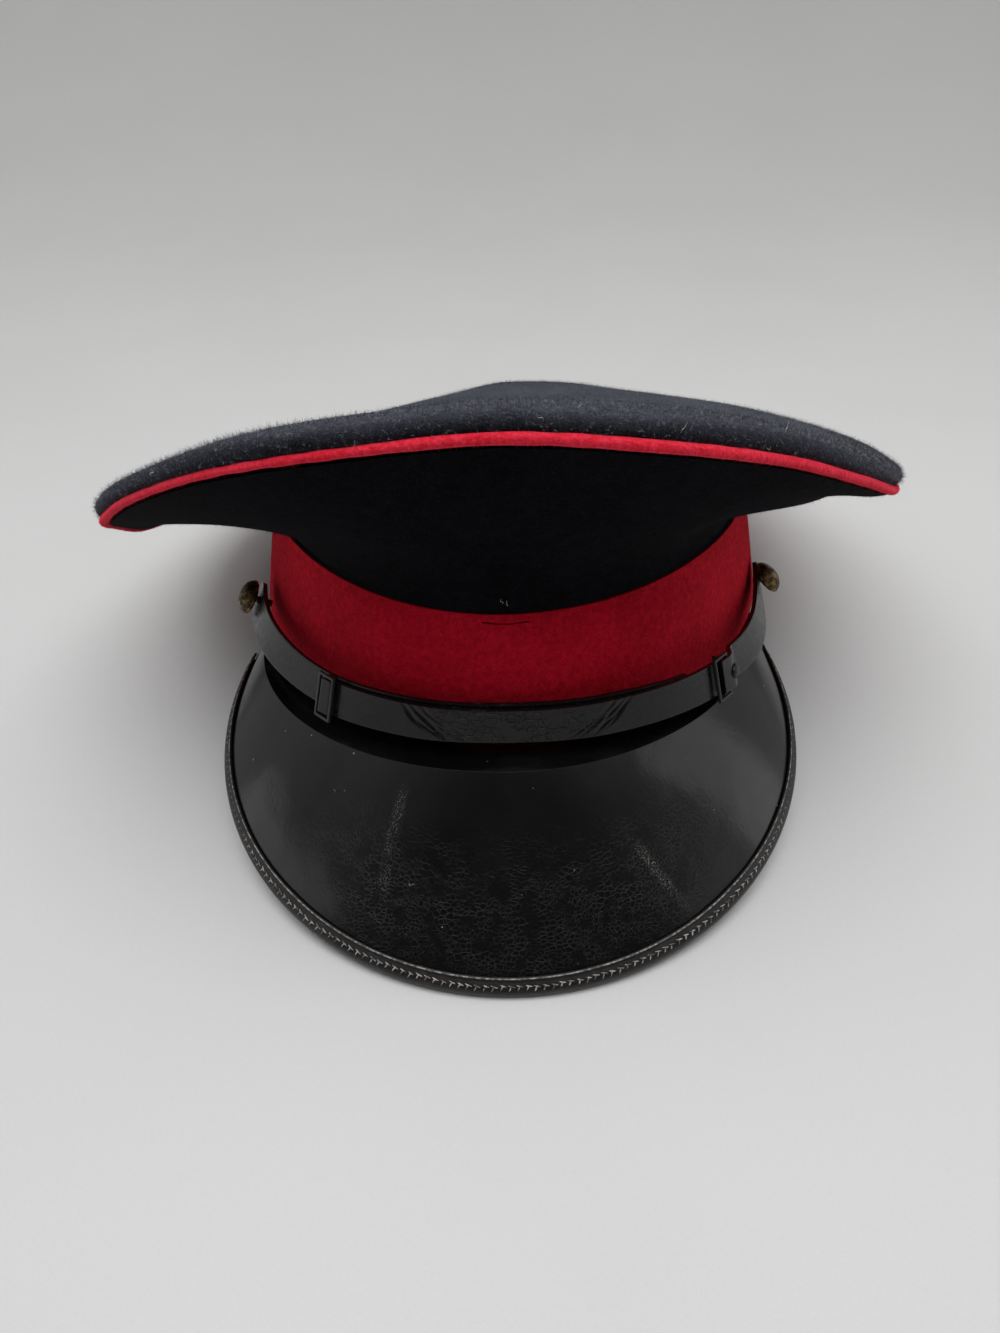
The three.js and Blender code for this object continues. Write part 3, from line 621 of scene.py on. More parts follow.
@dataclass(frozen=True)
class PatentFinish:
    """Black patent leather with crackle, dust, and grainy lines of painted highlight."""

    name: str
    colour: Colour = (0.0022, 0.0022, 0.0026)
    crack_colour: Colour = (0.023, 0.0205, 0.0195)
    # Pale colour of the grainy lines: a painted highlight at the edges of reflections
    glint_colour: Colour = (0.2, 0.18, 0.16)
    dust: Colour = (0.3, 0.29, 0.27)
    rough: float = 0.15
    root_share: float = 0.135
    left_spread: float = 0.38
    right_spread: float = 0.2
    root_tilt: float = 0.0185
    root_steepness: float = 0.75
    crackle_sides: tuple[float, float] = (0.27, 0.12)
    crackle_start: tuple[float, float] = (0.2, 0.7)
    crack_edge: tuple[float, float] = (0.035, 0.01)
    wide_cells: tuple[Triple, float] = ((0.8, 1.1, 1.1), 760)
    tall_cells: tuple[Triple, float] = ((1.25, 0.9, 0.9), 860)
    # Where the two grainy lines of painted highlight lie: spot across the peak, lean, and half width
    left_glint: Triple = (0.3766, -0.0193, 0.010)
    right_glint: Triple = (0.625, -0.075, 0.008)
    right_glint_start: tuple[float, float] = (0.42, 0.6)
    wave_relief: float = 0.0011
    skin_relief: float = 0.00013

    def make(self) -> bpy.types.Material:
        """Glossy material whose own coordinates run across the peak and out from the band."""
        paint = Paint(self.name)
        at = paint.place()
        sheet = paint.place(source="UV")
        across, out = paint.part(sheet, "X"), paint.part(sheet, "Y")
        beside = (across - 0.5).size()
        cloud = paint.noise(at, 28, 4, 0.6)
        patches = paint.noise(at, 60, 3, 0.6)
        middle = beside.between(*self.crackle_sides) * out.between(*self.crackle_start)
        wide = self.lines(paint, *self.wide_cells) * patches.between(0.62, 0.45)
        tall = self.lines(paint, *self.tall_cells) * patches.between(0.4, 0.58)
        faint = paint.noise(at, 200, 3, 0.6).between(0.3, 0.6) * 0.8 + 0.2
        cracks = wide.most(tall) * faint * middle
        # Grainy lines of painted highlight at two places; the same mask also roughens and dents the surface
        glint_streaks = self.glint_streak(across, out, *self.left_glint).most(
            self.glint_streak(across, out, *self.right_glint) * out.between(*self.right_glint_start))
        glint_grains = paint.noise(at, 2600, 2, 0.7).between(0.52, 0.68) * glint_streaks * patches.between(0.3, 0.6)
        scratch = paint.noise(paint.place((14, 1, 1), (0, 0, 0.5)), 42, 3, 0.7).between(0.70, 0.77) * 0.5
        speck = paint.cells(at, 150).between(0.05, 0.03) * paint.noise(at, 90, 1).between(0.5, 0.6)
        base = paint.mix(cracks, self.colour, self.crack_colour)
        base = paint.mix(glint_grains * 0.8, base, self.glint_colour)
        base = paint.mix(speck, base, self.dust)
        spread = across.between(0.4, 0.6) * (self.right_spread - self.left_spread) + self.left_spread
        root = beside * beside * 4 * spread + self.root_share
        steep = beside.between(0.22, 0.05) * self.root_steepness + 1
        rooted = paint.relief(out.least(root) * steep, self.root_tilt)
        waved = paint.relief(paint.noise(at, 38, 2), self.wave_relief, 0.5, rooted)
        peel = paint.noise(at, 800, 2, 0.55)
        height = peel * 0.35 - cracks * 0.3 - glint_grains * 0.4 - scratch * 0.3
        return paint.finish({
            "Base Color": base,
            "Roughness": self.rough + cloud.between(0.35, 0.75) * 0.1 + speck * 0.4 + glint_grains * 0.25,
            "Specular IOR Level": 0.5,
            "Normal": paint.relief(height, self.skin_relief, 0.6, waved),
        })

    def lines(self, paint: Paint, stretch: Triple, scale: float) -> Value:
        """Thin cracks round cells that are longer along the axes with the smaller stretch."""
        return paint.cells(paint.place(stretch), scale, "DISTANCE_TO_EDGE").between(*self.crack_edge)

    @staticmethod
    def glint_streak(across: Value, out: Value, spot: float, lean: float, half_width: float) -> Value:
        """Line of painted highlight from near the band to near the edge."""
        line = (across - spot + out * lean - 0.5 * lean).size().between(half_width, half_width * 0.15)
        return line * out.between(0.22, 0.34) * out.between(0.98, 0.7)


@dataclass(frozen=True)
class LeatherFinish:
    """Dull or polished leather with a fine grain."""

    name: str
    deep: Colour
    worn: Colour
    rough: float
    grain: float = 900
    relief: float = 0.00015

    def make(self) -> bpy.types.Material:
        """Material with pores, scuffs and worn patches."""
        paint = Paint(self.name)
        at = paint.place()
        pores = paint.cells(at, self.grain)
        scuff = paint.noise(at, 260, 4, 0.65)
        patch = paint.noise(at, 60, 2).between(0.45, 0.7) * scuff.between(0.45, 0.7)
        return paint.finish({
            "Base Color": paint.mix(patch, self.deep, self.worn),
            "Roughness": self.rough + scuff.between(0.3, 0.8) * 0.18,
            "Specular IOR Level": 0.5,
            "Normal": paint.relief(pores * 0.6 + scuff * 0.4, self.relief, 0.6),
        })


@dataclass(frozen=True)
class StrapFinish:
    """Black patent strap that is crackled at its middle."""

    name: str
    colour: Colour = (0.0025, 0.0025, 0.0025)
    worn: Colour = (0.01, 0.0097, 0.0094)
    rough: float = 0.24
    crackle_middle: float = 0.005
    crackle_reach: tuple[float, float] = (0.026, 0.012)
    crease_relief: float = 0.0003

    def make(self) -> bpy.types.Material:
        """Material with fine scuffs, and crackle near the front of the cap."""
        paint = Paint(self.name)
        at = paint.place()
        along = paint.part(at, "X")
        front = (along - self.crackle_middle).size().between(*self.crackle_reach)
        wander = paint.noise(at, 160, 2)
        crackle = paint.cells(at, 430, "DISTANCE_TO_EDGE").between(0.13, 0.03)
        crackle = crackle * wander.between(0.38, 0.55) * front
        scuff = paint.noise(at, 420, 4, 0.65)
        worn = scuff.between(0.5, 0.75) * 0.5 + crackle * 0.5
        return paint.finish({
            "Base Color": paint.mix(worn, self.colour, self.worn),
            "Roughness": self.rough + scuff.between(0.3, 0.8) * 0.14 + front * 0.08,
            "Specular IOR Level": 0.3,
            "Normal": paint.relief(scuff * 0.06 - crackle, self.crease_relief, 0.8),
        })


@dataclass(frozen=True)
class MetalFinish:
    """Lacquered or tarnished metal."""

    name: str
    deep: Colour
    bright: Colour
    rough: float
    metal: float
    wear: tuple[float, float]
    dulling: float = 0.2
    pit_relief: float = 0.00006

    def make(self) -> bpy.types.Material:
        """Material with worn or tarnished patches."""
        paint = Paint(self.name)
        at = paint.place()
        patch = paint.noise(at, 420, 4, 0.65).between(*self.wear)
        pits = paint.noise(at, 1700, 2)
        return paint.finish({
            "Base Color": paint.mix(patch, self.deep, self.bright),
            "Metallic": self.metal,
            "Roughness": self.rough + (1 - patch) * self.dulling,
            "Normal": paint.relief(pits, self.pit_relief, 0.5),
        })


@dataclass(frozen=True)
class FloorFinish:
    """Pale sheet under the cap."""

    name: str = "pale_sheet"
    near: Colour = (0.72, 0.72, 0.73)
    far: Colour = (0.56, 0.565, 0.545)
    change: tuple[float, float] = (-0.35, 0.6)
    rough: float = 0.7

    def make(self) -> bpy.types.Material:
        """Matt material with a faint grain, and a painted shade that darkens it towards the back."""
        paint = Paint(self.name)
        at = paint.place()
        grain = paint.noise(at, 900, 3, 0.6)
        cloud = paint.noise(at, 9, 2)
        # The colour darkens towards the back and up the wall: a painted shade
        share = grain * 0.2 + cloud * 0.25 + paint.part(at, "Y").between(*self.change) * 0.55
        return paint.finish({
            "Base Color": paint.mix(share, self.near, self.far),
            "Roughness": self.rough,
            "Specular IOR Level": 0.2,
            "Normal": paint.relief(grain, 0.0003, 0.3),
        })


class Bench:
    """Makes and finishes meshes with Blender's own operators."""

    MERGE_DISTANCE = 2e-6
    ROD_TIP = 0.35
    ROD_SKEW = (0.31, 0.22, 0.93)

    @staticmethod
    def clear_selection() -> None:
        """Leave nothing selected, in object mode."""
        if bpy.context.object and bpy.context.object.mode != "OBJECT":
            bpy.ops.object.mode_set(mode="OBJECT")
        bpy.ops.object.select_all(action="DESELECT")

    @classmethod
    def take(cls, piece: bpy.types.Object) -> None:
        """Select one piece and make it active."""
        cls.clear_selection()
        piece.select_set(True)
        bpy.context.view_layer.objects.active = piece

    @classmethod
    def grid(cls, name: str, columns: int, rows: int, place: Place) -> bpy.types.Object:
        """Lay a grid over a surface.

        Args:
            name: name of the piece.
            columns: faces along the surface's first direction.
            rows: faces along its second direction.
            place: points in the cap's frame for shares from 0 to 1 along both directions.

        Returns:
            The grid as an object at the origin.
        """
        cls.clear_selection()
        bpy.ops.mesh.primitive_grid_add(x_subdivisions=columns, y_subdivisions=rows, size=2, calc_uvs=True)
        piece = bpy.context.object
        piece.name = piece.data.name = name
        flat = np.zeros(len(piece.data.vertices) * 3)
        piece.data.vertices.foreach_get("co", flat)
        shares = (flat.reshape(-1, 3) + 1) / 2
        points = SHAPE.metres(place(shares[:, 0], shares[:, 1]))
        piece.data.vertices.foreach_set("co", points.ravel())
        piece.data.update()
        return piece

    @classmethod
    def weld(cls, piece: bpy.types.Object, inside: Optional[Triple] = None) -> None:
        """Merge the edges of a grid that meet, and turn its faces away from a point of the cap's frame."""
        cls.take(piece)
        bpy.ops.object.mode_set(mode="EDIT")
        bpy.ops.mesh.select_all(action="SELECT")
        bpy.ops.mesh.remove_doubles(threshold=cls.MERGE_DISTANCE)
        bpy.ops.object.mode_set(mode="OBJECT")
        if inside is not None:
            heart = Vector(SHAPE.metres(np.array([inside], float))[0])
            facing = sum(f.area * f.normal.dot(f.center - heart) for f in piece.data.polygons)
            if facing < 0:
                cls.edit(piece, lambda: bpy.ops.mesh.flip_normals())

    @classmethod
    def edit(cls, piece: bpy.types.Object, *steps: Callable[[], object]) -> None:
        """Run edit-mode steps on the whole of a piece."""
        cls.take(piece)
        bpy.ops.object.mode_set(mode="EDIT")
        bpy.ops.mesh.select_all(action="SELECT")
        for step in steps:
            step()
        bpy.ops.object.mode_set(mode="OBJECT")

    @classmethod
    def pick_faces(cls, piece: bpy.types.Object, test: Callable[[bpy.types.MeshPolygon], bool]) -> None:
        """Go into edit mode with only the faces that pass a test selected."""
        cls.edit(piece, lambda: bpy.ops.mesh.select_all(action="DESELECT"))
        for face in piece.data.polygons:
            face.select = test(face)
        bpy.context.tool_settings.mesh_select_mode = (False, False, True)
        bpy.ops.object.mode_set(mode="EDIT")

    @classmethod
    def close_ends(cls, piece: bpy.types.Object) -> None:
        """Fill the open ends of a tube and turn its faces out."""
        cls.edit(
            piece,
            lambda: bpy.ops.mesh.fill_holes(sides=0),
            lambda: bpy.ops.mesh.normals_make_consistent(inside=False),
        )

    @classmethod
    def modify(cls, piece: bpy.types.Object, kind: str, **settings: object) -> None:
        """Add a modifier and apply it."""
        cls.take(piece)
        modifier = piece.modifiers.new(kind.lower(), kind)
        for name, value in settings.items():
            setattr(modifier, name, value)
        bpy.ops.object.modifier_apply(modifier=modifier.name)

    @classmethod
    def thicken(cls, piece: bpy.types.Object, wall: float, **settings: object) -> None:
        """Give a sheet its thickness on its inner side."""
        cls.modify(piece, "SOLIDIFY", thickness=wall * MM, offset=-1, **settings)

    @classmethod
    def bevel(cls, piece: bpy.types.Object, width: float, **settings: object) -> None:
        """Round off the corners of a piece."""
        cls.modify(piece, "BEVEL", width=width * MM, segments=2, limit_method="ANGLE", **settings)

    @classmethod
    def smooth(cls, piece: bpy.types.Object, corner: Corner = Corner.CLOTH) -> None:
        """Shade a piece smooth, with its sharper corners kept."""
        cls.take(piece)
        bpy.ops.object.shade_smooth_by_angle(angle=math.radians(corner.value))

    @classmethod
    def set_down(cls, piece: bpy.types.Object) -> bpy.types.Object:
        """Put a piece's own transform into its mesh."""
        cls.take(piece)
        bpy.ops.object.transform_apply(location=True, rotation=True, scale=True)
        return piece

    @classmethod
    def box(cls, size: Triple, centre: Triple) -> bpy.types.Object:
        """Box with its sizes and its middle in millimetres."""
        cls.clear_selection()
        bpy.ops.mesh.primitive_cube_add(size=1, location=[c * MM for c in centre])
        piece = bpy.context.object
        piece.scale = [s * MM for s in size]
        return cls.set_down(piece)

    @classmethod
    def dome(cls, radius: float, height: float, segments: int, rings: int) -> bpy.types.Object:
        """Upper half of a flattened ball, in millimetres, with a flat underside at the origin."""
        cls.clear_selection()
        bpy.ops.mesh.primitive_uv_sphere_add(segments=segments, ring_count=rings, radius=radius * MM)
        piece = bpy.context.object
        piece.scale = (1, 1, height / radius)
        cls.set_down(piece)
        cls.edit(piece, lambda: bpy.ops.mesh.bisect(
            plane_co=(0, 0, 0), plane_no=(0, 0, 1), clear_inner=True, use_fill=True))
        return piece

    @classmethod
    def ring(cls, radius: float, wire: float, height: float, segments: int, sides: int) -> bpy.types.Object:
        """Ring of round wire at a height, in millimetres; wire is the radius of the wire."""
        cls.clear_selection()
        bpy.ops.mesh.primitive_torus_add(
            major_radius=radius * MM, minor_radius=wire * MM, major_segments=segments,
            minor_segments=sides, location=(0, 0, height * MM))
        return cls.set_down(bpy.context.object)

    @classmethod
    def join(cls, name: str, *pieces: bpy.types.Object) -> bpy.types.Object:
        """Join pieces into one."""
        cls.clear_selection()
        for piece in pieces:
            piece.select_set(True)
        bpy.context.view_layer.objects.active = pieces[0]
        bpy.ops.object.join()
        pieces[0].name = pieces[0].data.name = name
        return pieces[0]

    @classmethod
    def rods(cls, name: str, spines: Sequence[np.ndarray], radii: Sequence[float],
             sides: int = 6) -> bpy.types.Object:
        """Model thin rods that taper to both ends.

        Args:
            name: name of the piece.
            spines: points along each rod, in the cap's frame.
            radii: radius of each rod at its middle.
            sides: faces round a rod.

        Returns:
            All rods as one mesh with faces out.
        """
        around = np.radians(np.arange(sides) * FULL_TURN / sides)[None, :, None]
        points, faces, base = [], [], 0
        for spine, radius in zip(spines, radii):
            along = unit(np.gradient(spine, axis=0))
            side = unit(np.cross(along, cls.ROD_SKEW))[:, None]
            ring = side * np.cos(around) + np.cross(along[:, None], side) * np.sin(around)
            swell = np.sin(np.linspace(0, math.pi, len(spine)))
            taper = radius * (cls.ROD_TIP + (1 - cls.ROD_TIP) * swell)
            points.append(SHAPE.metres((spine[:, None] + ring * taper[:, None, None]).reshape(-1, 3)))
            last = base + sides * (len(spine) - 1)
            for i in range(base, last, sides):
                for j in range(sides):
                    k = (j + 1) % sides
                    faces.append((i + j, i + k, i + sides + k, i + sides + j))
            faces += [tuple(range(base + sides - 1, base - 1, -1)), tuple(range(last, last + sides))]
            base += sides * len(spine)
        return cls.from_arrays(name, np.concatenate(points), faces)

    @staticmethod
    def from_arrays(name: str, points: np.ndarray, faces: list) -> bpy.types.Object:
        """Mesh of many small things from arrays of points in metres and faces."""
        mesh = bpy.data.meshes.new(name)
        mesh.from_pydata(points.tolist(), [], faces)
        mesh.update()
        piece = bpy.data.objects.new(name, mesh)
        bpy.context.scene.collection.objects.link(piece)
        return piece

    @classmethod
    def dress(cls, piece: bpy.types.Object, slot: Slot, *materials: bpy.types.Material) -> bpy.types.Object:
        """Give a piece its materials and tie it to the part."""
        if not piece.data.materials:
            for material in materials:
                piece.data.materials.append(material)
        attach(piece, BODY)
        LOG.info("%s: %d faces", piece.name, len(piece.data.polygons))
        return piece


@dataclass(frozen=True)
class Nap:
    """Fibres that stand off a cloth face."""

    count: int
    length: float
    width: float
    lean: float = 1.1
    bend: float = 0.5
    foot_rise: float = 0.15
    tip_rise: float = 0.05
    shortest: float = 0.35
    short_power: float = 1.5
    knee_share: float = 0.55
    knee_width: float = 0.8

    @staticmethod
    def lifted(direction: np.ndarray, normal: np.ndarray, least: float) -> np.ndarray:
        """Directions, raised where they lie too close to the cloth."""
        short = np.maximum(least - (direction * normal).sum(1), 0)
        return unit(direction + normal * short[:, None])

    def grow(self, name: str, cloth: bpy.types.Object, seed: int) -> bpy.types.Object:
        """Scatter bent fibres over a face.

        Args:
            name: name of the piece.
            cloth: open sheet whose faces point out.
            seed: seed of the draws.

        Returns:
            One mesh of thin bent blades.
        """
        draw = np.random.default_rng(seed)
        mesh = cloth.data
        mesh.calc_loop_triangles()
        corners = np.zeros(len(mesh.loop_triangles) * 3, int)
        mesh.loop_triangles.foreach_get("vertices", corners)
        spots = np.zeros(len(mesh.vertices) * 3)
        mesh.vertices.foreach_get("co", spots)
        a, b, c = np.moveaxis(spots.reshape(-1, 3)[corners.reshape(-1, 3)], 1, 0)
        cross = np.cross(b - a, c - a)
        area = np.linalg.norm(cross, axis=1)
        pick = draw.choice(len(area), self.count, p=area / area.sum())
        u, v = np.sqrt(draw.uniform(size=self.count)), draw.uniform(size=self.count)
        root = a[pick] * (1 - u)[:, None] + b[pick] * (u * (1 - v))[:, None] + c[pick] * (u * v)[:, None]
        normal = cross[pick] / area[pick][:, None]
        wander = draw.normal(size=(self.count, 3)) * self.lean
        first = self.lifted(unit(normal + wander), normal, self.foot_rise)
        second = unit(first + draw.normal(size=(self.count, 3)) * self.bend)
        second = self.lifted(second, normal, self.tip_rise)
        length = (self.length * MM * draw.uniform(self.shortest, 1, self.count) ** self.short_power)[:, None]
        side = unit(np.cross(first, draw.normal(size=(self.count, 3)))) * self.width * MM / 2
        middle = root + first * length * self.knee_share
        tip = middle + second * length * (1 - self.knee_share)
        slim = side * self.knee_width
        points = np.stack([root - side, root + side, middle + slim, middle - slim, tip], 1)
        start = np.arange(self.count) * points.shape[1]
        blades = np.stack([start, start + 1, start + 2, start + 3], 1).tolist()
        tips = np.stack([start + 3, start + 2, start + 4], 1).tolist()
        return Bench.from_arrays(name, points.reshape(-1, 3), blades + tips)


@dataclass
class Crown:
    """Soft crown: a top panel with a rolled edge, four side panels and the piping between them."""

    disc_share: float = 0.68
    top_columns: int = 256
    top_rows: int = 72
    panel_columns: int = 72
    panel_rows: int = 44
    foot_share: float = 0.08
    seam_depth: float = 0.5
    seam_reach: float = 0.55
    unevenness: float = 0.5
    uneven_length: float = 60
    roll_rows: int = 24
    roll_start: float = 0.6
    roll_reach: float = 0.38
    piping_columns: int = 480
    piping_sides: int = 14
    piping_swell: float = 0.08
    swell_length: float = 9
    piping_radius: float = 1.42
    piping_thinning: float = 0.1
    front_inset: float = 1.3
    front_turn: float = 12
    front_reach: float = 38
    front_flattening: float = 0.46
    flattening_reach: float = 45
    left_thinning: float = 0.32
    left_thin_turn: float = -28
    left_thin_reach: float = 20

    ROLL = ((-4, 7.8), (-1.6, 7.5), (0.3, 6.6), (1.3, 5), (1.3, 3.2), (0.4, 1.8), (-0.9, 1.3))
    TOP_NAP = Nap(50000, 1.3, 0.05)
    ROLL_NAP = Nap(36000, 2.3, 0.05, 0.75)
    QUARTER_NAP = Nap(9000, 1.2, 0.035)
    PIPING_NAP = Nap(16000, 0.9, 0.04)
    QUARTERS = (
        ("quarter_front_left", -90, 0),
        ("quarter_front_right", 0, 90),
        ("quarter_back_left", -180, -90),
        ("quarter_back_right", 90, 180),
    )

    def top_place(self, along: np.ndarray, across: np.ndarray) -> np.ndarray:
        """Outer face of the top panel: across runs from its middle over the roll to the piping."""
        turn = along * FULL_TURN - HALF_TURN
        share = np.clip(across / self.disc_share, 0, 1)
        roll = np.clip((across - self.disc_share) / (1 - self.disc_share), 0, 1)
        profile = curve(self.ROLL, roll)
        flat = self.front_flattening * bump_shape(turn / self.flattening_reach)
        disc = SHAPE.top_rise(turn, share) + self.ROLL[0][1] * (1 - flat * share**3)
        edge = read(CROWN, "rise", turn) + profile[:, 1] * (1 - flat)
        rise = np.where(across < self.disc_share, disc, edge)
        inset = self.front_inset * bump_shape((turn - self.front_turn) / self.front_reach)
        rim = SHAPE.rim.point(turn, profile[:, 0] - inset, 0)
        points = rim * np.where(across < self.disc_share, share, 1)[:, None]
        points[:, 2] = SHAPE.band_height + rise
        relief = ripple(points, self.uneven_length, Seed.TOP_RIPPLE)
        points[:, 2] += self.unevenness * relief * np.clip(share * 2, 0, 1) * (1 - roll)
        return points

    def roll_place(self, along: np.ndarray, across: np.ndarray) -> np.ndarray:
        """Outer face of the roll alone."""
        return self.top_place(along, self.roll_start + across * self.roll_reach)

    def panel_place(self, start: float, end: float) -> Place:
        """Outer face of a side panel between two seams, from its foot inside the crown to the piping."""

        def place(along: np.ndarray, across: np.ndarray) -> np.ndarray:
            turn = start + along * (end - start)
            seam = np.minimum(turn - start, end - turn) / self.seam_reach
            share = np.clip((across - self.foot_share) / (1 - self.foot_share), 0, 1)
            knee = SHAPE.panel_point(turn, np.zeros_like(turn))
            foot = SHAPE.band_point(turn, -SHAPE.gap, SHAPE.band_top(turn) + SHAPE.gap)
            down = np.clip(across / self.foot_share, 0, 1)[:, None]
            point = np.where(across[:, None] < self.foot_share, foot + (knee - foot) * down,
                             SHAPE.panel_point(turn, share))
            return point - SHAPE.head.normal(turn) * (self.seam_depth * bump_shape(seam))[:, None]

        return place

    def piping_place(self, along: np.ndarray, across: np.ndarray) -> np.ndarray:
        """Round cord along the rim."""
        turn = along * FULL_TURN - HALF_TURN
        a = across * 2 * math.pi
        centre = SHAPE.rim_centre(turn)
        side = np.abs(np.sin(np.radians(turn)))
        thin = self.piping_thinning * side + self.left_thinning * bump_shape(
            (turn - self.left_thin_turn) / self.left_thin_reach)
        swell = self.piping_swell * ripple(centre, self.swell_length, Seed.PIPING_RIPPLE)
        radius = self.piping_radius - thin + swell
        out = SHAPE.rim.normal(turn) * (radius * np.cos(a))[:, None]
        out[:, 2] += radius * np.sin(a)
        return centre + out

    def build(self, lit_top_shaded_roll_cloth: bpy.types.Material, cloth: bpy.types.Material, fibre: bpy.types.Material,
              lit_roll_fibre: bpy.types.Material, shaded_side_fibre: bpy.types.Material, red: bpy.types.Material,
              red_fibre: bpy.types.Material) -> None:
        """Model and dress the crown."""
        # The top's cloth and the fibres of the top and roll are lit copies of the panels' navy, with painted
        # shade at the roll; the panels' cloth and fibres are the shaded copies
        top = Bench.grid("crown_top_cloth", self.top_columns, self.top_rows, self.top_place)
        Bench.weld(top, INSIDE_BAND)
        Bench.dress(self.TOP_NAP.grow("crown_top_nap", top, Seed.TOP_NAP), Slot.DARK_CLOTH, fibre)
        edge = Bench.grid("crown_roll", self.top_columns, self.roll_rows, self.roll_place)
        Bench.weld(edge, INSIDE_BAND)
        Bench.dress(self.ROLL_NAP.grow("crown_roll_nap", edge, Seed.ROLL_NAP), Slot.DARK_CLOTH, lit_roll_fibre)
        bpy.data.objects.remove(edge)
        Bench.thicken(top, SHAPE.cloth)
        Bench.smooth(top)
        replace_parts(Bench.dress(top, Slot.DARK_CLOTH, lit_top_shaded_roll_cloth), "crown_top")
        for seed, (node, start, end) in enumerate(self.QUARTERS, Seed.QUARTER_NAP):
            place = self.panel_place(start, end)
            panel = Bench.grid(f"{node}_cloth", self.panel_columns, self.panel_rows, place)
            Bench.weld(panel, INSIDE_CROWN)
            nap = self.QUARTER_NAP.grow(f"{node}_nap", panel, seed)
            Bench.dress(nap, Slot.DARK_CLOTH, shaded_side_fibre)
            Bench.thicken(panel, SHAPE.cloth)
            Bench.smooth(panel)
            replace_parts(Bench.dress(panel, Slot.DARK_CLOTH, cloth), node)
        # The piping's cloth and fibres, given as red and red_fibre, are brighter than the band's red: painted
        # light
        piping = Bench.grid("piping_cloth", self.piping_columns, self.piping_sides, self.piping_place)
        Bench.weld(piping)
        Bench.edit(piping, lambda: bpy.ops.mesh.normals_make_consistent(inside=False))
        Bench.dress(self.PIPING_NAP.grow("piping_nap", piping, Seed.PIPING_NAP), Slot.RED_PIPING, red_fibre)
        Bench.smooth(piping, Corner.ROUND)
        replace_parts(Bench.dress(piping, Slot.RED_PIPING, red), "piping")


@dataclass
class Lint:
    """Pale curls of fluff caught on the cloth and on the peak."""

    radius: float = 0.05
    sides: int = 5
    steps: int = 9
    sway: float = 0.275
    sway_turns: float = 1.1
    least_rise: float = 0.3
    shortening: float = 0.7
    peak_lift: float = 0.15
    seam_lift: float = 0.9

    # Each spot ends with the curl's length, after turn and share, across and out, or turn and rise
    CROWN_SPOTS = (
        (-38, 0.86, 2.4), (-24, 0.7, 2.2), (-9, 0.74, 1.6), (4, 0.8, 2.6), (8, 0.66, 1.5), (17, 0.84, 2.8),
        (24, 0.96, 3.2), (27, 0.92, 2), (31, 0.72, 3), (46, 0.8, 1.8), (60, 0.9, 1.6),
    )
    PEAK_SPOTS = (
        (-0.18, 0.633, 3.6), (-0.41, 0.42, 1.5), (0.12, 0.55, 0.9), (0.02, 0.62, 0.8), (0.44, 0.6, 1.1),
    )
    SEAM_SPOTS = ((-0.55, 3.4, 1.6), (0.35, 3.2, 1.3), (0.6, 2.9, 1.5), (-0.2, 3.6, 1.2))

    def curl(self, foot: np.ndarray, length: float, draw: np.random.Generator) -> np.ndarray:
        """Bent line that rises from a foot and wanders."""
        t = np.linspace(0, 1, self.steps)[:, None]
        lean, aside = unit(draw.normal(size=(2, 3)))
        lean[2] = abs(lean[2]) + self.least_rise
        return foot + (lean * t + aside * self.sway * np.sin(2 * math.pi * self.sway_turns * t)) * length

    def build(self, crown: Crown, fluff: bpy.types.Material) -> None:
        """Scatter the curls."""
        draw = np.random.default_rng(Seed.LINT)
        turn, share, crown_length = np.array(self.CROWN_SPOTS).T
        across, out, peak_length = np.array(self.PEAK_SPOTS).T
        seam_turn, rise, seam_length = np.array(self.SEAM_SPOTS).T
        feet = np.concatenate([
            crown.top_place(turn / FULL_TURN + 0.5, share),
            SHAPE.peak_point(across, out) + (0, 0, self.peak_lift),
            SHAPE.band_point(seam_turn, self.seam_lift, SHAPE.band_height + rise),
        ])
        lengths = np.concatenate([crown_length, peak_length, seam_length]) * self.shortening
        curls = [self.curl(foot, length, draw) for foot, length in zip(feet, lengths)]
        piece = Bench.rods("lint", curls, [self.radius] * len(curls), self.sides)
        Bench.smooth(piece, Corner.ROUND)
        Bench.dress(piece, Slot.DARK_CLOTH, fluff)


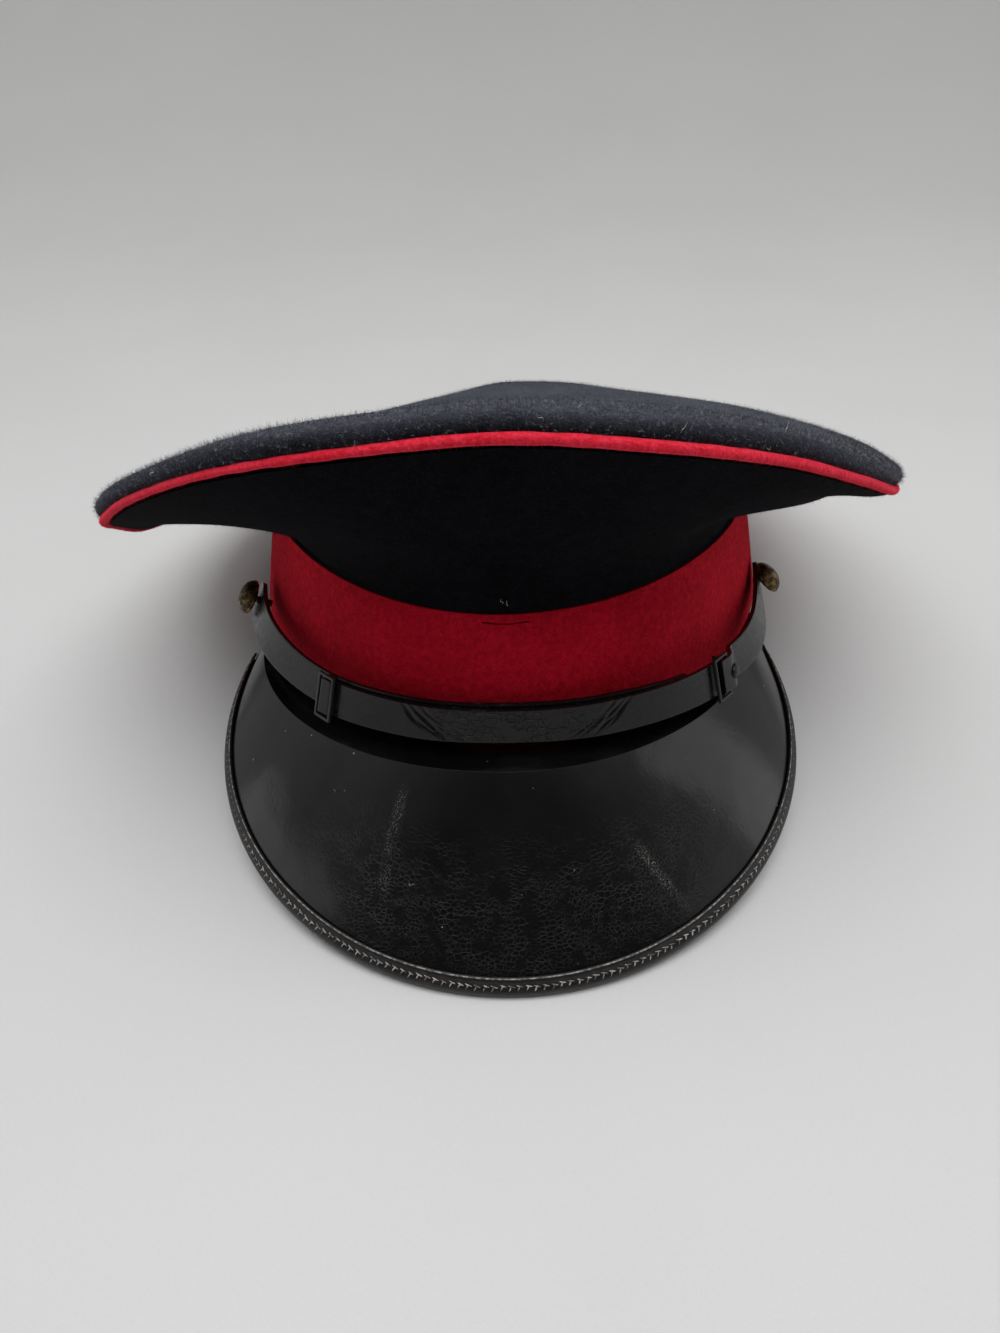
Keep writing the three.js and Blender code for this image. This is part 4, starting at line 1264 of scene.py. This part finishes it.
@dataclass
class Band:
    """Red cloth band with a slit for a badge."""

    columns: int = 360
    rows_below: int = 20
    rows_above: int = 6
    slit_half_width: float = 6.5
    slit_height: float = 0.5
    slit_sag: float = 0.45
    sag_reach: float = 4
    slit_stretch: float = 1.35
    row_share: float = 0.3
    lip: float = 0.8
    lip_reach: float = 0.9
    lip_turn: float = 4.2
    slit_below_top: float = 2.0
    unevenness: float = 0.25
    uneven_length: float = 45

    NAP = Nap(26000, 0.7, 0.026)

    def heights(self) -> np.ndarray:
        """Heights of the grid's rows, with one row of faces at the slit."""
        middle = SHAPE.band_height - self.slit_below_top
        low, high = middle - self.slit_height / 2, middle + self.slit_height / 2
        below = np.linspace(0, low, self.rows_below + 1)
        above = np.linspace(high, SHAPE.band_height, self.rows_above + 1)
        return np.concatenate([below, above])

    def place(self, along: np.ndarray, across: np.ndarray) -> np.ndarray:
        """Outer face of the band."""
        turn = along * FULL_TURN - HALF_TURN
        heights = self.heights()
        height = np.interp(across, np.linspace(0, 1, len(heights)), heights)
        slit = SHAPE.band_height - self.slit_below_top
        front = bump_shape(turn / self.lip_turn)
        held = np.clip((SHAPE.band_height - height) / self.slit_below_top, 0, 1)
        lip = self.lip * bump_shape((height - slit - self.lip_reach) / self.lip_reach) * front * held
        height = height - self.slit_sag * front * held * bump_shape((height - slit) / self.sag_reach)
        height = height * SHAPE.band_top(turn) / SHAPE.band_height
        flat = SHAPE.band_point(turn, np.zeros_like(turn), height)
        ends = np.sin(np.pi * height / SHAPE.band_height)
        relief = self.unevenness * ripple(flat, self.uneven_length, Seed.BAND_RIPPLE) * ends
        return SHAPE.band_point(turn, relief + lip, height)

    def cut_slit(self, piece: bpy.types.Object) -> None:
        """Take out the faces of the slit at the front, found by their place in the grid."""
        row = (self.rows_below + 0.5) / (self.rows_below + self.rows_above + 1)
        reach = self.slit_half_width / (2 * math.pi * SHAPE.head.half_length) * self.slit_stretch
        near = self.row_share / len(self.heights())

        def at_slit(face: bpy.types.MeshPolygon) -> bool:
            marks = piece.data.uv_layers[0].data
            along, across = np.mean([marks[i].uv for i in face.loop_indices], 0)
            return bool(abs(along - 0.5) < reach and abs(across - row) < near)

        Bench.pick_faces(piece, at_slit)
        bpy.ops.mesh.delete(type="FACE")
        bpy.ops.object.mode_set(mode="OBJECT")

    def build(self, cloth: bpy.types.Material, fibre: bpy.types.Material) -> None:
        """Model and dress the band."""
        rows = self.rows_below + self.rows_above + 1
        band = Bench.grid("band_cloth", self.columns, rows, self.place)
        Bench.weld(band, INSIDE_BAND)
        self.cut_slit(band)
        Bench.dress(self.NAP.grow("band_nap", band, Seed.BAND_NAP), Slot.RED_CLOTH, fibre)
        Bench.thicken(band, SHAPE.band_wall)
        Bench.smooth(band)
        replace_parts(Bench.dress(band, Slot.RED_CLOTH, cloth), "band")


@dataclass
class Peak:
    """Patent leather peak with a stitched binding."""

    wall: float = 2.4
    columns: int = 220
    rows: int = 72
    binding_share: float = 0.96
    binding_columns: int = 520
    binding_rows: int = 40
    flange_loss: float = 0.45
    flange_turn: tuple[float, float] = (0.4, 0.8)
    stitch_pitch: float = 2.3
    stitch_radius: float = 0.21
    stitch_fade: tuple[float, float] = (0.42, 0.62)
    stitch_jitter: float = 0.08
    stitch_points: int = 5
    stitch_lift: float = 0.9
    fresh_lift: float = 0.28
    stitch_arch: float = 0.22
    top_slope: float = 0.12
    top_reach: float = -1.2
    worn_radius: float = 0.4
    edge_steps: int = 2000
    bead_reach: float = -3.6
    bead_rise: float = 0.98
    bead_radius: float = 0.2
    bead_sides: int = 8

    STROKES = (((-0.95, -1.9), (0.85, -1.35)), ((-0.1, -1.75), (-0.75, -0.35)))
    PROFILE = (
        (-4.0, 0.35), (-3.95, 0.85), (-3.5, 1.05), (-3.15, 0.75), (-2.6, 0.85), (-1.2, 1.25), (0.2, 1.2),
        (1.3, 0.5), (1.8, -0.8), (1.6, -2.2), (0.8, -3.3), (-0.6, -3.85), (-2.2, -3.9), (-3.8, -3.7),
        (-3.9, -3.2), (-3.8, -2.72), (-2, -2.72), (-0.4, -2.72), (0.3, -2.5), (0.3, -1.2), (0.25, 0.1),
        (-0.4, 0.3), (-2, 0.3), (-3.4, 0.3), (-4.0, 0.35),
    )

    def place(self, along: np.ndarray, across: np.ndarray) -> np.ndarray:
        """Top face of the peak, with its first row tucked under the band."""
        side = along * 2 - 1
        first = 1 / self.rows
        out = np.clip((across - first) / (1 - first), 0, 1)
        tucked = SHAPE.band_point(side * SHAPE.peak_turn, -SHAPE.band_wall, np.full_like(side, -SHAPE.gap))
        return np.where(across[:, None] < first / 2, tucked, SHAPE.peak_point(side, out))

    def edge_place(self, across: np.ndarray, along: np.ndarray, up: np.ndarray) -> np.ndarray:
        """Points about the peak's edge: along is out past it, up is off the top face."""
        out_axis, off_axis = SHAPE.peak_axes(across, np.ones_like(across))
        return SHAPE.edge_point(across) + out_axis * along[..., None] + off_axis * up[..., None]

    def binding_place(self, along: np.ndarray, across: np.ndarray) -> np.ndarray:
        """Folded edging that grips the rim of the peak."""
        section = curve(self.PROFILE, across)
        side = (along * 2 - 1) * self.binding_share
        reach = np.where(section[:, 0] < 0, section[:, 0] * self.narrowing(side), section[:, 0])
        return self.edge_place(side, reach, section[:, 1])

    def narrowing(self, side: np.ndarray) -> np.ndarray:
        """Width of the binding's flanges as a share of their width in front."""
        return 1 - self.flange_loss * np.interp(np.abs(side), self.flange_turn, (0, 1))

    def bead_place(self, along: np.ndarray, across: np.ndarray) -> np.ndarray:
        """Thin tube along the inner edge of the binding, whose pale colour is a painted highlight on its
        ridge.
        """
        side = (along * 2 - 1) * self.binding_share
        a = across * 2 * math.pi
        reach = (self.bead_reach + self.bead_radius * np.cos(a)) * self.narrowing(side)
        return self.edge_place(side, reach, self.bead_rise + self.bead_radius * np.sin(a))

    def stitches(self) -> bpy.types.Object:
        """Row of slanted thread strokes along the binding."""
        fine = np.linspace(-self.binding_share, self.binding_share, self.edge_steps)
        edge = SHAPE.edge_point(fine)
        length = np.concatenate([[0], np.cumsum(np.linalg.norm(np.diff(edge, axis=0), axis=1))])
        count = int(length[-1] / self.stitch_pitch)
        centres = np.interp((np.arange(count) + 0.5) * self.stitch_pitch, length, fine)
        step = (fine[1] - fine[0]) / (length[1] - length[0])
        draw = np.random.default_rng(Seed.STITCHES)
        t = np.linspace(0, 1, self.stitch_points)
        spines, radii = [], []
        for centre in centres:
            jitter = draw.normal(0, self.stitch_jitter, 4)
            fresh = float(np.interp(abs(centre), self.stitch_fade, (1, 0)))
            for (run0, reach0), (run1, reach1) in self.STROKES:
                run = run0 + jitter[0] + (run1 - run0) * t
                reach = (reach0 + jitter[1] + (reach1 - reach0 + jitter[2]) * t) * self.narrowing(centre)
                lift = self.stitch_lift + self.fresh_lift * fresh + self.stitch_arch * np.sin(math.pi * t)
                lift = lift + self.top_slope * (reach - self.top_reach)
                spines.append(self.edge_place(centre + run * step, reach, lift))
                radii.append(self.stitch_radius * (self.worn_radius + (1 - self.worn_radius) * fresh))
        return Bench.rods("binding_stitches", spines, radii)

    def build(self, patent: bpy.types.Material, edging: bpy.types.Material, thread: bpy.types.Material,
              ridge_highlight: bpy.types.Material) -> None:
        """Model and dress the peak."""
        peak = Bench.grid("peak_leather", self.columns, self.rows, self.place)
        Bench.weld(peak, UNDER_PEAK)
        Bench.thicken(peak, self.wall)
        Bench.smooth(peak)
        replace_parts(Bench.dress(peak, Slot.PATENT, patent), "peak")
        columns = self.binding_columns
        binding = Bench.grid("peak_binding_leather", columns, self.binding_rows, self.binding_place)
        Bench.weld(binding)
        Bench.close_ends(binding)
        Bench.smooth(binding, Corner.LEATHER)
        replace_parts(Bench.dress(binding, Slot.BINDING, edging), "peak_binding")
        # A pale tube on the inner ridge of the binding: a painted highlight
        bead = Bench.grid("binding_highlight_bead", columns, self.bead_sides, self.bead_place)
        Bench.weld(bead)
        Bench.close_ends(bead)
        Bench.smooth(bead, Corner.ROUND)
        Bench.dress(bead, Slot.BINDING, ridge_highlight)
        stitches = self.stitches()
        Bench.smooth(stitches, Corner.ROUND)
        Bench.dress(stitches, Slot.BINDING, thread)


@dataclass
class ChinStrap:
    """Leather straps with metal slides, a rivet and two brass buttons."""

    width: float = 10
    wall: float = 1.4
    layer: float = 1.8
    inner_raise: float = 0.8
    inner_taper: float = 14
    left_turn: float = -72
    inner_end_turn: float = 36.5
    right_turn: float = 76
    tab_length: float = 5
    slide_left_turn: float = -36.2
    slide_right_turn: float = 43.2
    slide_width: float = 7
    slide_height: float = 13.4
    slide_bar: float = 0.85
    slide_thickness: float = 1
    slide_lift: float = 3.7
    slide_bump: float = 1.2
    slide_bump_length: float = 3.1
    slide_bump_flat: float = 0.6
    slide_tail: float = 2.4
    slide_tuck: float = 0.9
    fold_start: float = -0.7
    fold_rise: float = 3.8
    fold_reach: float = 9
    fold_slope: float = 11
    rivet_turn: float = 46.2
    rivet_radius: float = 2.3
    rivet_height: float = 0.9
    rivet_sink: float = 0.4
    rivet_seat: float = 0.1
    rivet_bevel: float = 0.2
    slide_bevel: float = 0.22
    post_share: float = 0.9
    button_radius: float = 5.8
    button_edge: float = 1.2
    button_dome: float = 3
    button_standoff: float = 1.2
    button_slack: float = 0.4
    button_dome_share: float = 0.97
    button_roll_inset: float = 0.55
    shank_radius: float = 1.1
    shank_bevel: float = 0.3
    shank_clearance: float = 1.5
    collar_radius: float = 1.9
    collar_wire: float = 0.5
    collar_set_back: float = 0.2
    edge_bevel: float = 0.3
    edge_angle: float = 60
    crease_middle: float = 2
    crease_rise: float = 22
    crease_radius: float = 29
    crease_pitch: float = 0.85
    crease_count: int = 6
    crease_wobble: float = 0.25
    crease_depth: tuple[float, float] = (0.3, 0.55)
    crease_width: tuple[float, float] = (0.28, 0.4)
    across: int = 14
    front_across: int = 42
    spacing: float = 0.4

    BUTTON_LEANS = {"button_left": (2, 2), "button_right": (0, 30)}

    def bump(self, turn: np.ndarray) -> np.ndarray:
        """Extra lift of the front strap where it crosses the middle bar of the left slide."""
        away = np.abs(turn - self.slide_left_turn) * SHAPE.degree_length(self.slide_left_turn)
        share = away / self.slide_bump_length
        down = np.clip((share - self.slide_bump_flat) / (1 - self.slide_bump_flat), 0, 1)
        return self.slide_bump * 0.5 * (1 + np.cos(np.pi * down))

    def fold(self, turn: np.ndarray) -> np.ndarray:
        """Extra lift of the right strap where its folded end holds the outer bar of its slide."""
        along = (turn - self.slide_right_turn) * SHAPE.degree_length(self.slide_right_turn)
        down = np.clip((along - self.slide_width / 2) / self.fold_reach, 0, 1)
        return self.fold_rise * 0.5 * (1 + np.cos(np.pi * down))

    def half_width(self, turn: np.ndarray, tab_turn: Optional[float]) -> np.ndarray:
        """Half the strap's width, rounded off at a tab past a button."""
        half = np.full_like(turn, self.width / 2)
        if tab_turn is None:
            return half
        past = np.maximum((turn - tab_turn) * math.copysign(1, tab_turn), 0) * SHAPE.degree_length(tab_turn)
        return half * np.sqrt(np.maximum(1 - (past / self.tab_length) ** 2, 0.01))

    def strap(self, name: str, start: float, end: float, tab_turn: Optional[float] = None,
              front: bool = False) -> bpy.types.Object:
        """Model one strap.

        Args:
            name: name of the piece.
            start: turn of its first end.
            end: turn of its last end.
            tab_turn: turn of the button beyond which it ends in a round tab.
            front: whether it is the outer strap over the slides' bars.

        Returns:
            The strap with its thickness and rounded edges.
        """
        columns = int((end - start) * SHAPE.degree_length((start + end) / 2) / self.spacing)

        def place(along: np.ndarray, across: np.ndarray) -> np.ndarray:
            turn = start + along * (end - start)
            centre, _, up, off = SHAPE.strap_frame(turn)
            lift = self.wall + (self.layer + self.bump(turn) if front else 0)
            if end > self.right_turn:
                lift = lift + self.fold(turn)
            rise = (across * 2 - 1) * self.half_width(turn, tab_turn)
            if front:
                lift = lift + self.creases(turn, rise)
            else:
                from_end = np.abs(turn - self.inner_end_turn) / self.inner_taper
                rise = rise + self.inner_raise * np.clip(from_end, 0, 1)
            return centre + off * np.broadcast_to(lift, turn.shape)[:, None] + up * rise[:, None]

        piece = Bench.grid(name, columns, self.front_across if front else self.across, place)
        Bench.weld(piece, INSIDE_BAND)
        Bench.thicken(piece, self.wall, material_offset_rim=1)
        Bench.bevel(piece, self.edge_bevel, angle_limit=math.radians(self.edge_angle))
        Bench.smooth(piece, Corner.LEATHER)
        return piece

    def creases(self, turn: np.ndarray, rise: np.ndarray) -> np.ndarray:
        """Depth of the curved creases on both sides of the front strap's middle."""
        draw = np.random.default_rng(Seed.CREASES)
        along = turn * SHAPE.degree_length(0) - self.crease_middle
        depth = np.zeros_like(turn)
        for side in (-1, 1):
            for ring in range(self.crease_count):
                shift = draw.uniform(-self.crease_wobble, self.crease_wobble)
                radius = self.crease_radius + self.crease_pitch * ring + shift
                wobble = self.crease_wobble * np.sin(rise * draw.uniform(0.5, 1) + draw.uniform(0, 6))
                away = np.hypot(along, rise - self.crease_rise) - radius + wobble
                fade = bump_shape((rise - draw.uniform(-1.5, 2.5)) / draw.uniform(2.5, 4.5))
                deep = draw.uniform(*self.crease_depth) * fade * (along * side > 0)
                depth = depth - deep * bump_shape(away / draw.uniform(*self.crease_width))
        return depth

    def slide(self, name: str, turn: float) -> bpy.types.Object:
        """Flat metal frame with a middle bar set back on two posts."""
        lift = self.slide_lift + self.slide_thickness / 2
        plate = Bench.box((self.slide_width, self.slide_height, self.slide_thickness), (0, 0, lift))
        Bench.pick_faces(plate, lambda face: abs(face.normal.z) > 0.9)
        bpy.ops.mesh.inset(thickness=self.slide_bar * MM, depth=0)
        bpy.ops.mesh.bridge_edge_loops()
        bpy.ops.object.mode_set(mode="OBJECT")
        span = self.slide_height - self.slide_bar
        thick, tall = self.slide_bump / 2, lift - self.layer
        bars = [Bench.box((self.slide_bar, self.slide_height, thick), (0, 0, self.layer + thick / 2))]
        for side in (-1, 1):
            bars.append(Bench.box((self.slide_bar, self.slide_bar * self.post_share, tall),
                                  (0, side * span / 2, self.layer + tall / 2)))
        piece = Bench.join(name, plate, *bars)
        Bench.bevel(piece, self.slide_bevel, material=1)
        piece.data.transform(SHAPE.strap_matrix(turn))
        Bench.smooth(piece, Corner.LEATHER)
        return piece

    def rivet(self) -> bpy.types.Object:
        """Low domed rivet head on the right strap."""
        piece = Bench.dome(self.rivet_radius, self.rivet_height + self.rivet_sink, 24, 16)
        piece.name = piece.data.name = "strap_rivet_head"
        Bench.bevel(piece, self.rivet_bevel, material=1)
        face = self.wall + float(self.fold(np.array([self.rivet_turn]))[0]) - self.rivet_seat
        seat = Matrix.Translation((0, 0, face * MM)) @ Matrix.Rotation(math.radians(self.fold_slope), 4, "Y")
        piece.data.transform(SHAPE.strap_matrix(self.rivet_turn) @ seat)
        Bench.smooth(piece, Corner.LEATHER)
        return piece

    def shank(self, turn: float, top: float) -> bpy.types.Object:
        """Wire shank from the band's face up to a height above the strap's inner face."""
        slope = math.radians(float(read(STRAP, "lean", np.array([turn]))[0]))
        reach = float(read(STRAP, "standoff", np.array([turn]))[0])
        foot = self.shank_clearance * math.tan(slope) - (reach - 2 * SHAPE.gap) / math.cos(slope)
        Bench.clear_selection()
        bpy.ops.mesh.primitive_cylinder_add(
            vertices=20, radius=self.shank_radius * MM, depth=(top - foot) * MM,
            location=(0, 0, (top + foot) / 2 * MM))
        piece = bpy.context.object
        Bench.bevel(piece, self.shank_bevel)
        return Bench.set_down(piece)

    def button(self, name: str, turn: float, lean: tuple[float, float]) -> bpy.types.Object:
        """Model a domed button with a rolled edge and a wire shank.

        Args:
            name: name of the piece.
            turn: place on the strap.
            lean: how far it hangs over, along the strap and up, in degrees.

        Returns:
            The button in its place.
        """
        back = self.wall + self.button_standoff
        half_edge = self.button_edge / 2
        middle = back + half_edge
        dome = Bench.dome(self.button_radius * self.button_dome_share, self.button_dome + half_edge, 48, 24)
        dome.data.transform(Matrix.Translation((0, 0, middle * MM)))
        roll = Bench.ring(self.button_radius - self.button_roll_inset, half_edge, middle, 48, 12)
        shank = self.shank(turn, middle + self.button_slack)
        collar = Bench.ring(self.collar_radius, self.collar_wire, back - self.collar_set_back, 28, 10)
        along, up = (math.radians(angle) for angle in lean)
        hung = Matrix.Translation((0, 0, (back + self.button_slack) * MM)) @ Matrix.Rotation(along, 4, "Y")
        hung = hung @ Matrix.Rotation(-up, 4, "X") @ Matrix.Translation((0, 0, -back * MM))
        for part in (dome, roll, collar):
            part.data.transform(hung)
        piece = Bench.join(name, dome, roll, shank, collar)
        piece.data.transform(SHAPE.strap_matrix(turn))
        Bench.smooth(piece, Corner.LEATHER)
        return piece

    def build(self, leather: bpy.types.Material, raw: bpy.types.Material, lacquer: bpy.types.Material,
              bare: bpy.types.Material, brass: bpy.types.Material) -> None:
        """Model and dress the straps and their fittings."""
        tab_left = self.tab_length / SHAPE.degree_length(self.left_turn)
        tab_right = self.tab_length / SHAPE.degree_length(self.right_turn)
        tail_left = self.slide_tail / SHAPE.degree_length(self.slide_left_turn)
        tail_right = self.slide_tuck / SHAPE.degree_length(self.slide_right_turn)
        fold_start = self.fold_start / SHAPE.degree_length(self.slide_right_turn)
        straps = {
            "strap_left": self.strap("strap_left_leather", self.left_turn - tab_left, self.inner_end_turn,
                                     self.left_turn),
            "strap_right": self.strap("strap_right_leather", self.slide_right_turn + fold_start,
                                      self.right_turn + tab_right, self.right_turn),
            "strap_front": self.strap("strap_front_leather", self.slide_left_turn - tail_left,
                                      self.slide_right_turn - tail_right, front=True),
        }
        for node, piece in straps.items():
            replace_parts(Bench.dress(piece, Slot.STRAP, leather, raw), node)
        for node, turn in (("slide_left", self.slide_left_turn), ("slide_right", self.slide_right_turn)):
            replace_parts(Bench.dress(self.slide(f"{node}_frame", turn), Slot.METAL, lacquer, bare), node)
        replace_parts(Bench.dress(self.rivet(), Slot.METAL, lacquer, bare), "strap_rivet")
        for node, turn in (("button_left", self.left_turn), ("button_right", self.right_turn)):
            button = self.button(f"{node}_dome", turn, self.BUTTON_LEANS[node])
            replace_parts(Bench.dress(button, Slot.BRASS, brass), node)


@dataclass(frozen=True)
class Lamp:
    """Soft square of light."""

    name: str
    spot: Triple
    aim: Triple
    size: tuple[float, float]
    power: float
    colour: Colour = (1, 1, 1)

    def hang(self) -> None:
        """Add the light to the scene."""
        data = bpy.data.lights.new(self.name, "AREA")
        data.shape = "RECTANGLE"
        data.size, data.size_y = self.size
        data.energy = self.power
        data.color = self.colour
        lamp = bpy.data.objects.new(self.name, data)
        lamp.location = self.spot
        lamp.rotation_euler = (Vector(self.aim) - Vector(self.spot)).to_track_quat("-Z", "Y").to_euler()
        bpy.context.scene.collection.objects.link(lamp)


@dataclass
class Studio:
    """Pale sheet, soft light from the sides and behind, and the camera."""

    half_width: float = 1.6
    front: float = -1.2
    bend_start: float = 0.42
    bend_radius: float = 0.5
    wall_height: float = 1.2
    dark_side: float = 0.085
    bright_side: float = 0.62
    side_turn: tuple[float, float] = (-0.8, 0.2)
    ceiling: float = 0.6
    ceiling_lean: float = 0.5
    ceiling_edge: tuple[float, float] = (0.62, 0.88)
    camera_spot: Triple = (0.004516, -0.26498, 0.23602)
    camera_turn: Triple = (46.32, 1.381, -0.204)
    sensor_width: float = 36
    nearest: float = 0.01
    focal_pixels: float = 923
    image_height: float = 1333

    LAMPS = (
        Lamp("top_panel", (0.03, -0.12, 0.9), (0.03, -0.12, 0.0), (1.0, 0.56), 5.0),
        Lamp("left_back", (-0.62, 0.56, 0.6), (-0.05, 0.0, 0.03), (0.6, 0.4), 0.9),
        Lamp("right_back", (0.62, 0.56, 0.6), (0.05, 0.0, 0.03), (0.6, 0.4), 0.7),
        Lamp("right_panel", (0.75, -0.085, 0.28), (0.05, -0.11, 0.05), (0.28, 0.46), 0.25),
        Lamp("left_low", (-0.7, -0.24, 0.13), (-0.06, -0.04, 0.06), (0.5, 0.22), 0.2),
        Lamp("right_low", (0.7, -0.24, 0.13), (0.06, -0.04, 0.06), (0.5, 0.22), 0.08),
    )

    def sheet(self) -> None:
        """Floor that bends up into a back wall."""
        Bench.clear_selection()
        bpy.ops.mesh.primitive_grid_add(x_subdivisions=8, y_subdivisions=120, size=2)
        floor = bpy.context.object
        floor.name = floor.data.name = "pale_sheet"
        quarter = self.bend_radius * math.pi / 2
        total = self.bend_start - self.front + quarter + self.wall_height
        for vertex in floor.data.vertices:
            run = (vertex.co.y + 1) / 2 * total + self.front
            a = min(max((run - self.bend_start) / self.bend_radius, 0), math.pi / 2)
            rest = max(run - self.bend_start - quarter, 0)
            y = min(run, self.bend_start) + self.bend_radius * math.sin(a)
            vertex.co = (vertex.co.x * self.half_width, y, self.bend_radius * (1 - math.cos(a)) + rest)
        Bench.smooth(floor, Corner.SHEET)
        floor.data.materials.append(FloorFinish().make())

    def camera(self) -> None:
        """Camera at the photograph's viewing angle."""
        data = bpy.data.cameras.new("camera")
        data.sensor_width = self.sensor_width
        data.lens = self.focal_pixels / self.image_height * self.sensor_width
        data.clip_start = self.nearest
        camera = bpy.data.objects.new("camera", data)
        camera.location = self.camera_spot
        camera.rotation_euler = [math.radians(a) for a in self.camera_turn]
        bpy.context.scene.collection.objects.link(camera)
        bpy.context.scene.camera = camera

    def light(self) -> None:
        """Dim surroundings and soft squares of light."""
        world = bpy.data.worlds.new("surroundings")
        bpy.context.scene.world = world
        world.use_nodes = True
        air = Paint("surroundings", world)
        back, up = (air.part(air.place(source="Generated"), axis) for axis in "YZ")
        strength = back.between(*self.side_turn) * (self.bright_side - self.dark_side) + self.dark_side
        strength = strength + (up + back * self.ceiling_lean).between(*self.ceiling_edge) * self.ceiling
        air.close("ShaderNodeOutputWorld", air.node("ShaderNodeBackground", {}, {"Strength": strength}))
        for lamp in self.LAMPS:
            lamp.hang()
        bpy.context.scene.view_settings.view_transform = "Standard"

    def build(self) -> None:
        """Set up the sheet, the light and the camera."""
        self.sheet()
        self.light()
        self.camera()


def main() -> None:
    """Build the cap and its studio."""
    logging.basicConfig(level=logging.INFO, format="%(name)s %(message)s")
    # One navy cloth in two copies: the panels' copy is painted shade, much darker than the top's, which is
    # painted light with a darker rim that paints shade on the roll
    navy = WoolFinish(
        "navy_shaded_panel_wool", (0.0018, 0.0018, 0.0025), (0.0065, 0.0066, 0.009), sheen=0.0).make()
    top = WoolFinish(
        "navy_lit_top_shaded_roll", (0.014, 0.0145, 0.02), (0.085, 0.088, 0.112), sheen=0.25, sheen_tint=(0.55, 0.6, 0.75),
        grain=1800, rim=((0.003, 0.0031, 0.0043), (0.022, 0.0226, 0.03))).make()
    # Pale fibres on the top and roll are painted light standing in for backlit fibres; the panels' dark
    # fibres are painted shade
    fibre = FibreFinish(
        "navy_lit_fibre", (0.01, 0.0105, 0.0145), (0.25, 0.26, 0.31), bright_share=(0.42, 0.78)).make()
    lit_roll_fibre = FibreFinish(
        "lit_roll_fibre", (0.004, 0.0042, 0.006), (0.4, 0.41, 0.46), bright_share=(0.42, 0.74)).make()
    shaded_dark_fibre = FibreFinish("shaded_dark_fibre", (0.003, 0.003, 0.005), (0.03, 0.031, 0.038)).make()
    # The band's rim colours are painted light: the red turns paler away from the front middle, towards the
    # sides and back
    red = WoolFinish(
        "red_wool", (0.25, 0.0026, 0.008), (0.58, 0.0085, 0.027), sheen=0.0, gloss=0.03, grain=2300,
        rim=((0.42, 0.0085, 0.018), (0.9, 0.024, 0.05)), rim_axis="X", rim_middle=0.5,
        rim_start=(0.05, 0.18)).make()
    red_fibre = FibreFinish("red_fibre", (0.35, 0.004, 0.014), (0.8, 0.04, 0.07)).make()
    # The piping's red and its fibres are brighter than the band's: painted light that stands in for light
    # from the front
    piping = WoolFinish(
        "piping_lit_wool", (0.72, 0.011, 0.024), (1.0, 0.05, 0.1), sheen=1.0, sheen_tint=(1, 0.12, 0.18),
        grain=1000, nap_relief=0.001).make()
    lit_piping_fibre = FibreFinish("lit_piping_fibre", (0.75, 0.014, 0.03), (1.0, 0.14, 0.19)).make()
    fluff = FibreFinish("pale_fluff", (0.45, 0.45, 0.45), (0.8, 0.8, 0.8)).make()
    patent = PatentFinish("peak_patent").make()
    edging = LeatherFinish("edging_leather", (0.0075, 0.0062, 0.006), (0.027, 0.022, 0.02), rough=0.38).make()
    thread = FibreFinish("waxed_thread", (0.1, 0.09, 0.085), (0.5, 0.46, 0.43)).make()
    # The ridge's pale colour is a painted highlight along the binding's inner edge
    ridge_highlight = FibreFinish("painted_highlight_ridge", (0.08, 0.075, 0.07), (0.4, 0.38, 0.36)).make()
    strap = StrapFinish("strap_patent").make()
    raw = LeatherFinish("raw_edge", (0.012, 0.008, 0.006), (0.035, 0.025, 0.019), rough=0.7).make()
    lacquer = MetalFinish(
        "black_lacquer", (0.006, 0.006, 0.006), (0.03, 0.029, 0.027), rough=0.25, metal=0.0,
        wear=(0.6, 0.8)).make()
    bare = MetalFinish(
        "worn_edge", (0.16, 0.155, 0.15), (0.75, 0.73, 0.7), rough=0.35, metal=0.3, wear=(0.3, 0.6)).make()
    brass = MetalFinish(
        "tarnished_brass", (0.022, 0.016, 0.009), (0.33, 0.21, 0.075), rough=0.34, metal=0.85,
        wear=(0.38, 0.72)).make()
    crown = Crown()
    crown.build(top, navy, fibre, lit_roll_fibre, shaded_dark_fibre, piping, lit_piping_fibre)
    Lint().build(crown, fluff)
    Band().build(red, red_fibre)
    Peak().build(patent, edging, thread, ridge_highlight)
    ChinStrap().build(strap, raw, lacquer, bare, brass)
    Studio().build()


if __name__ == "__main__":
    main()
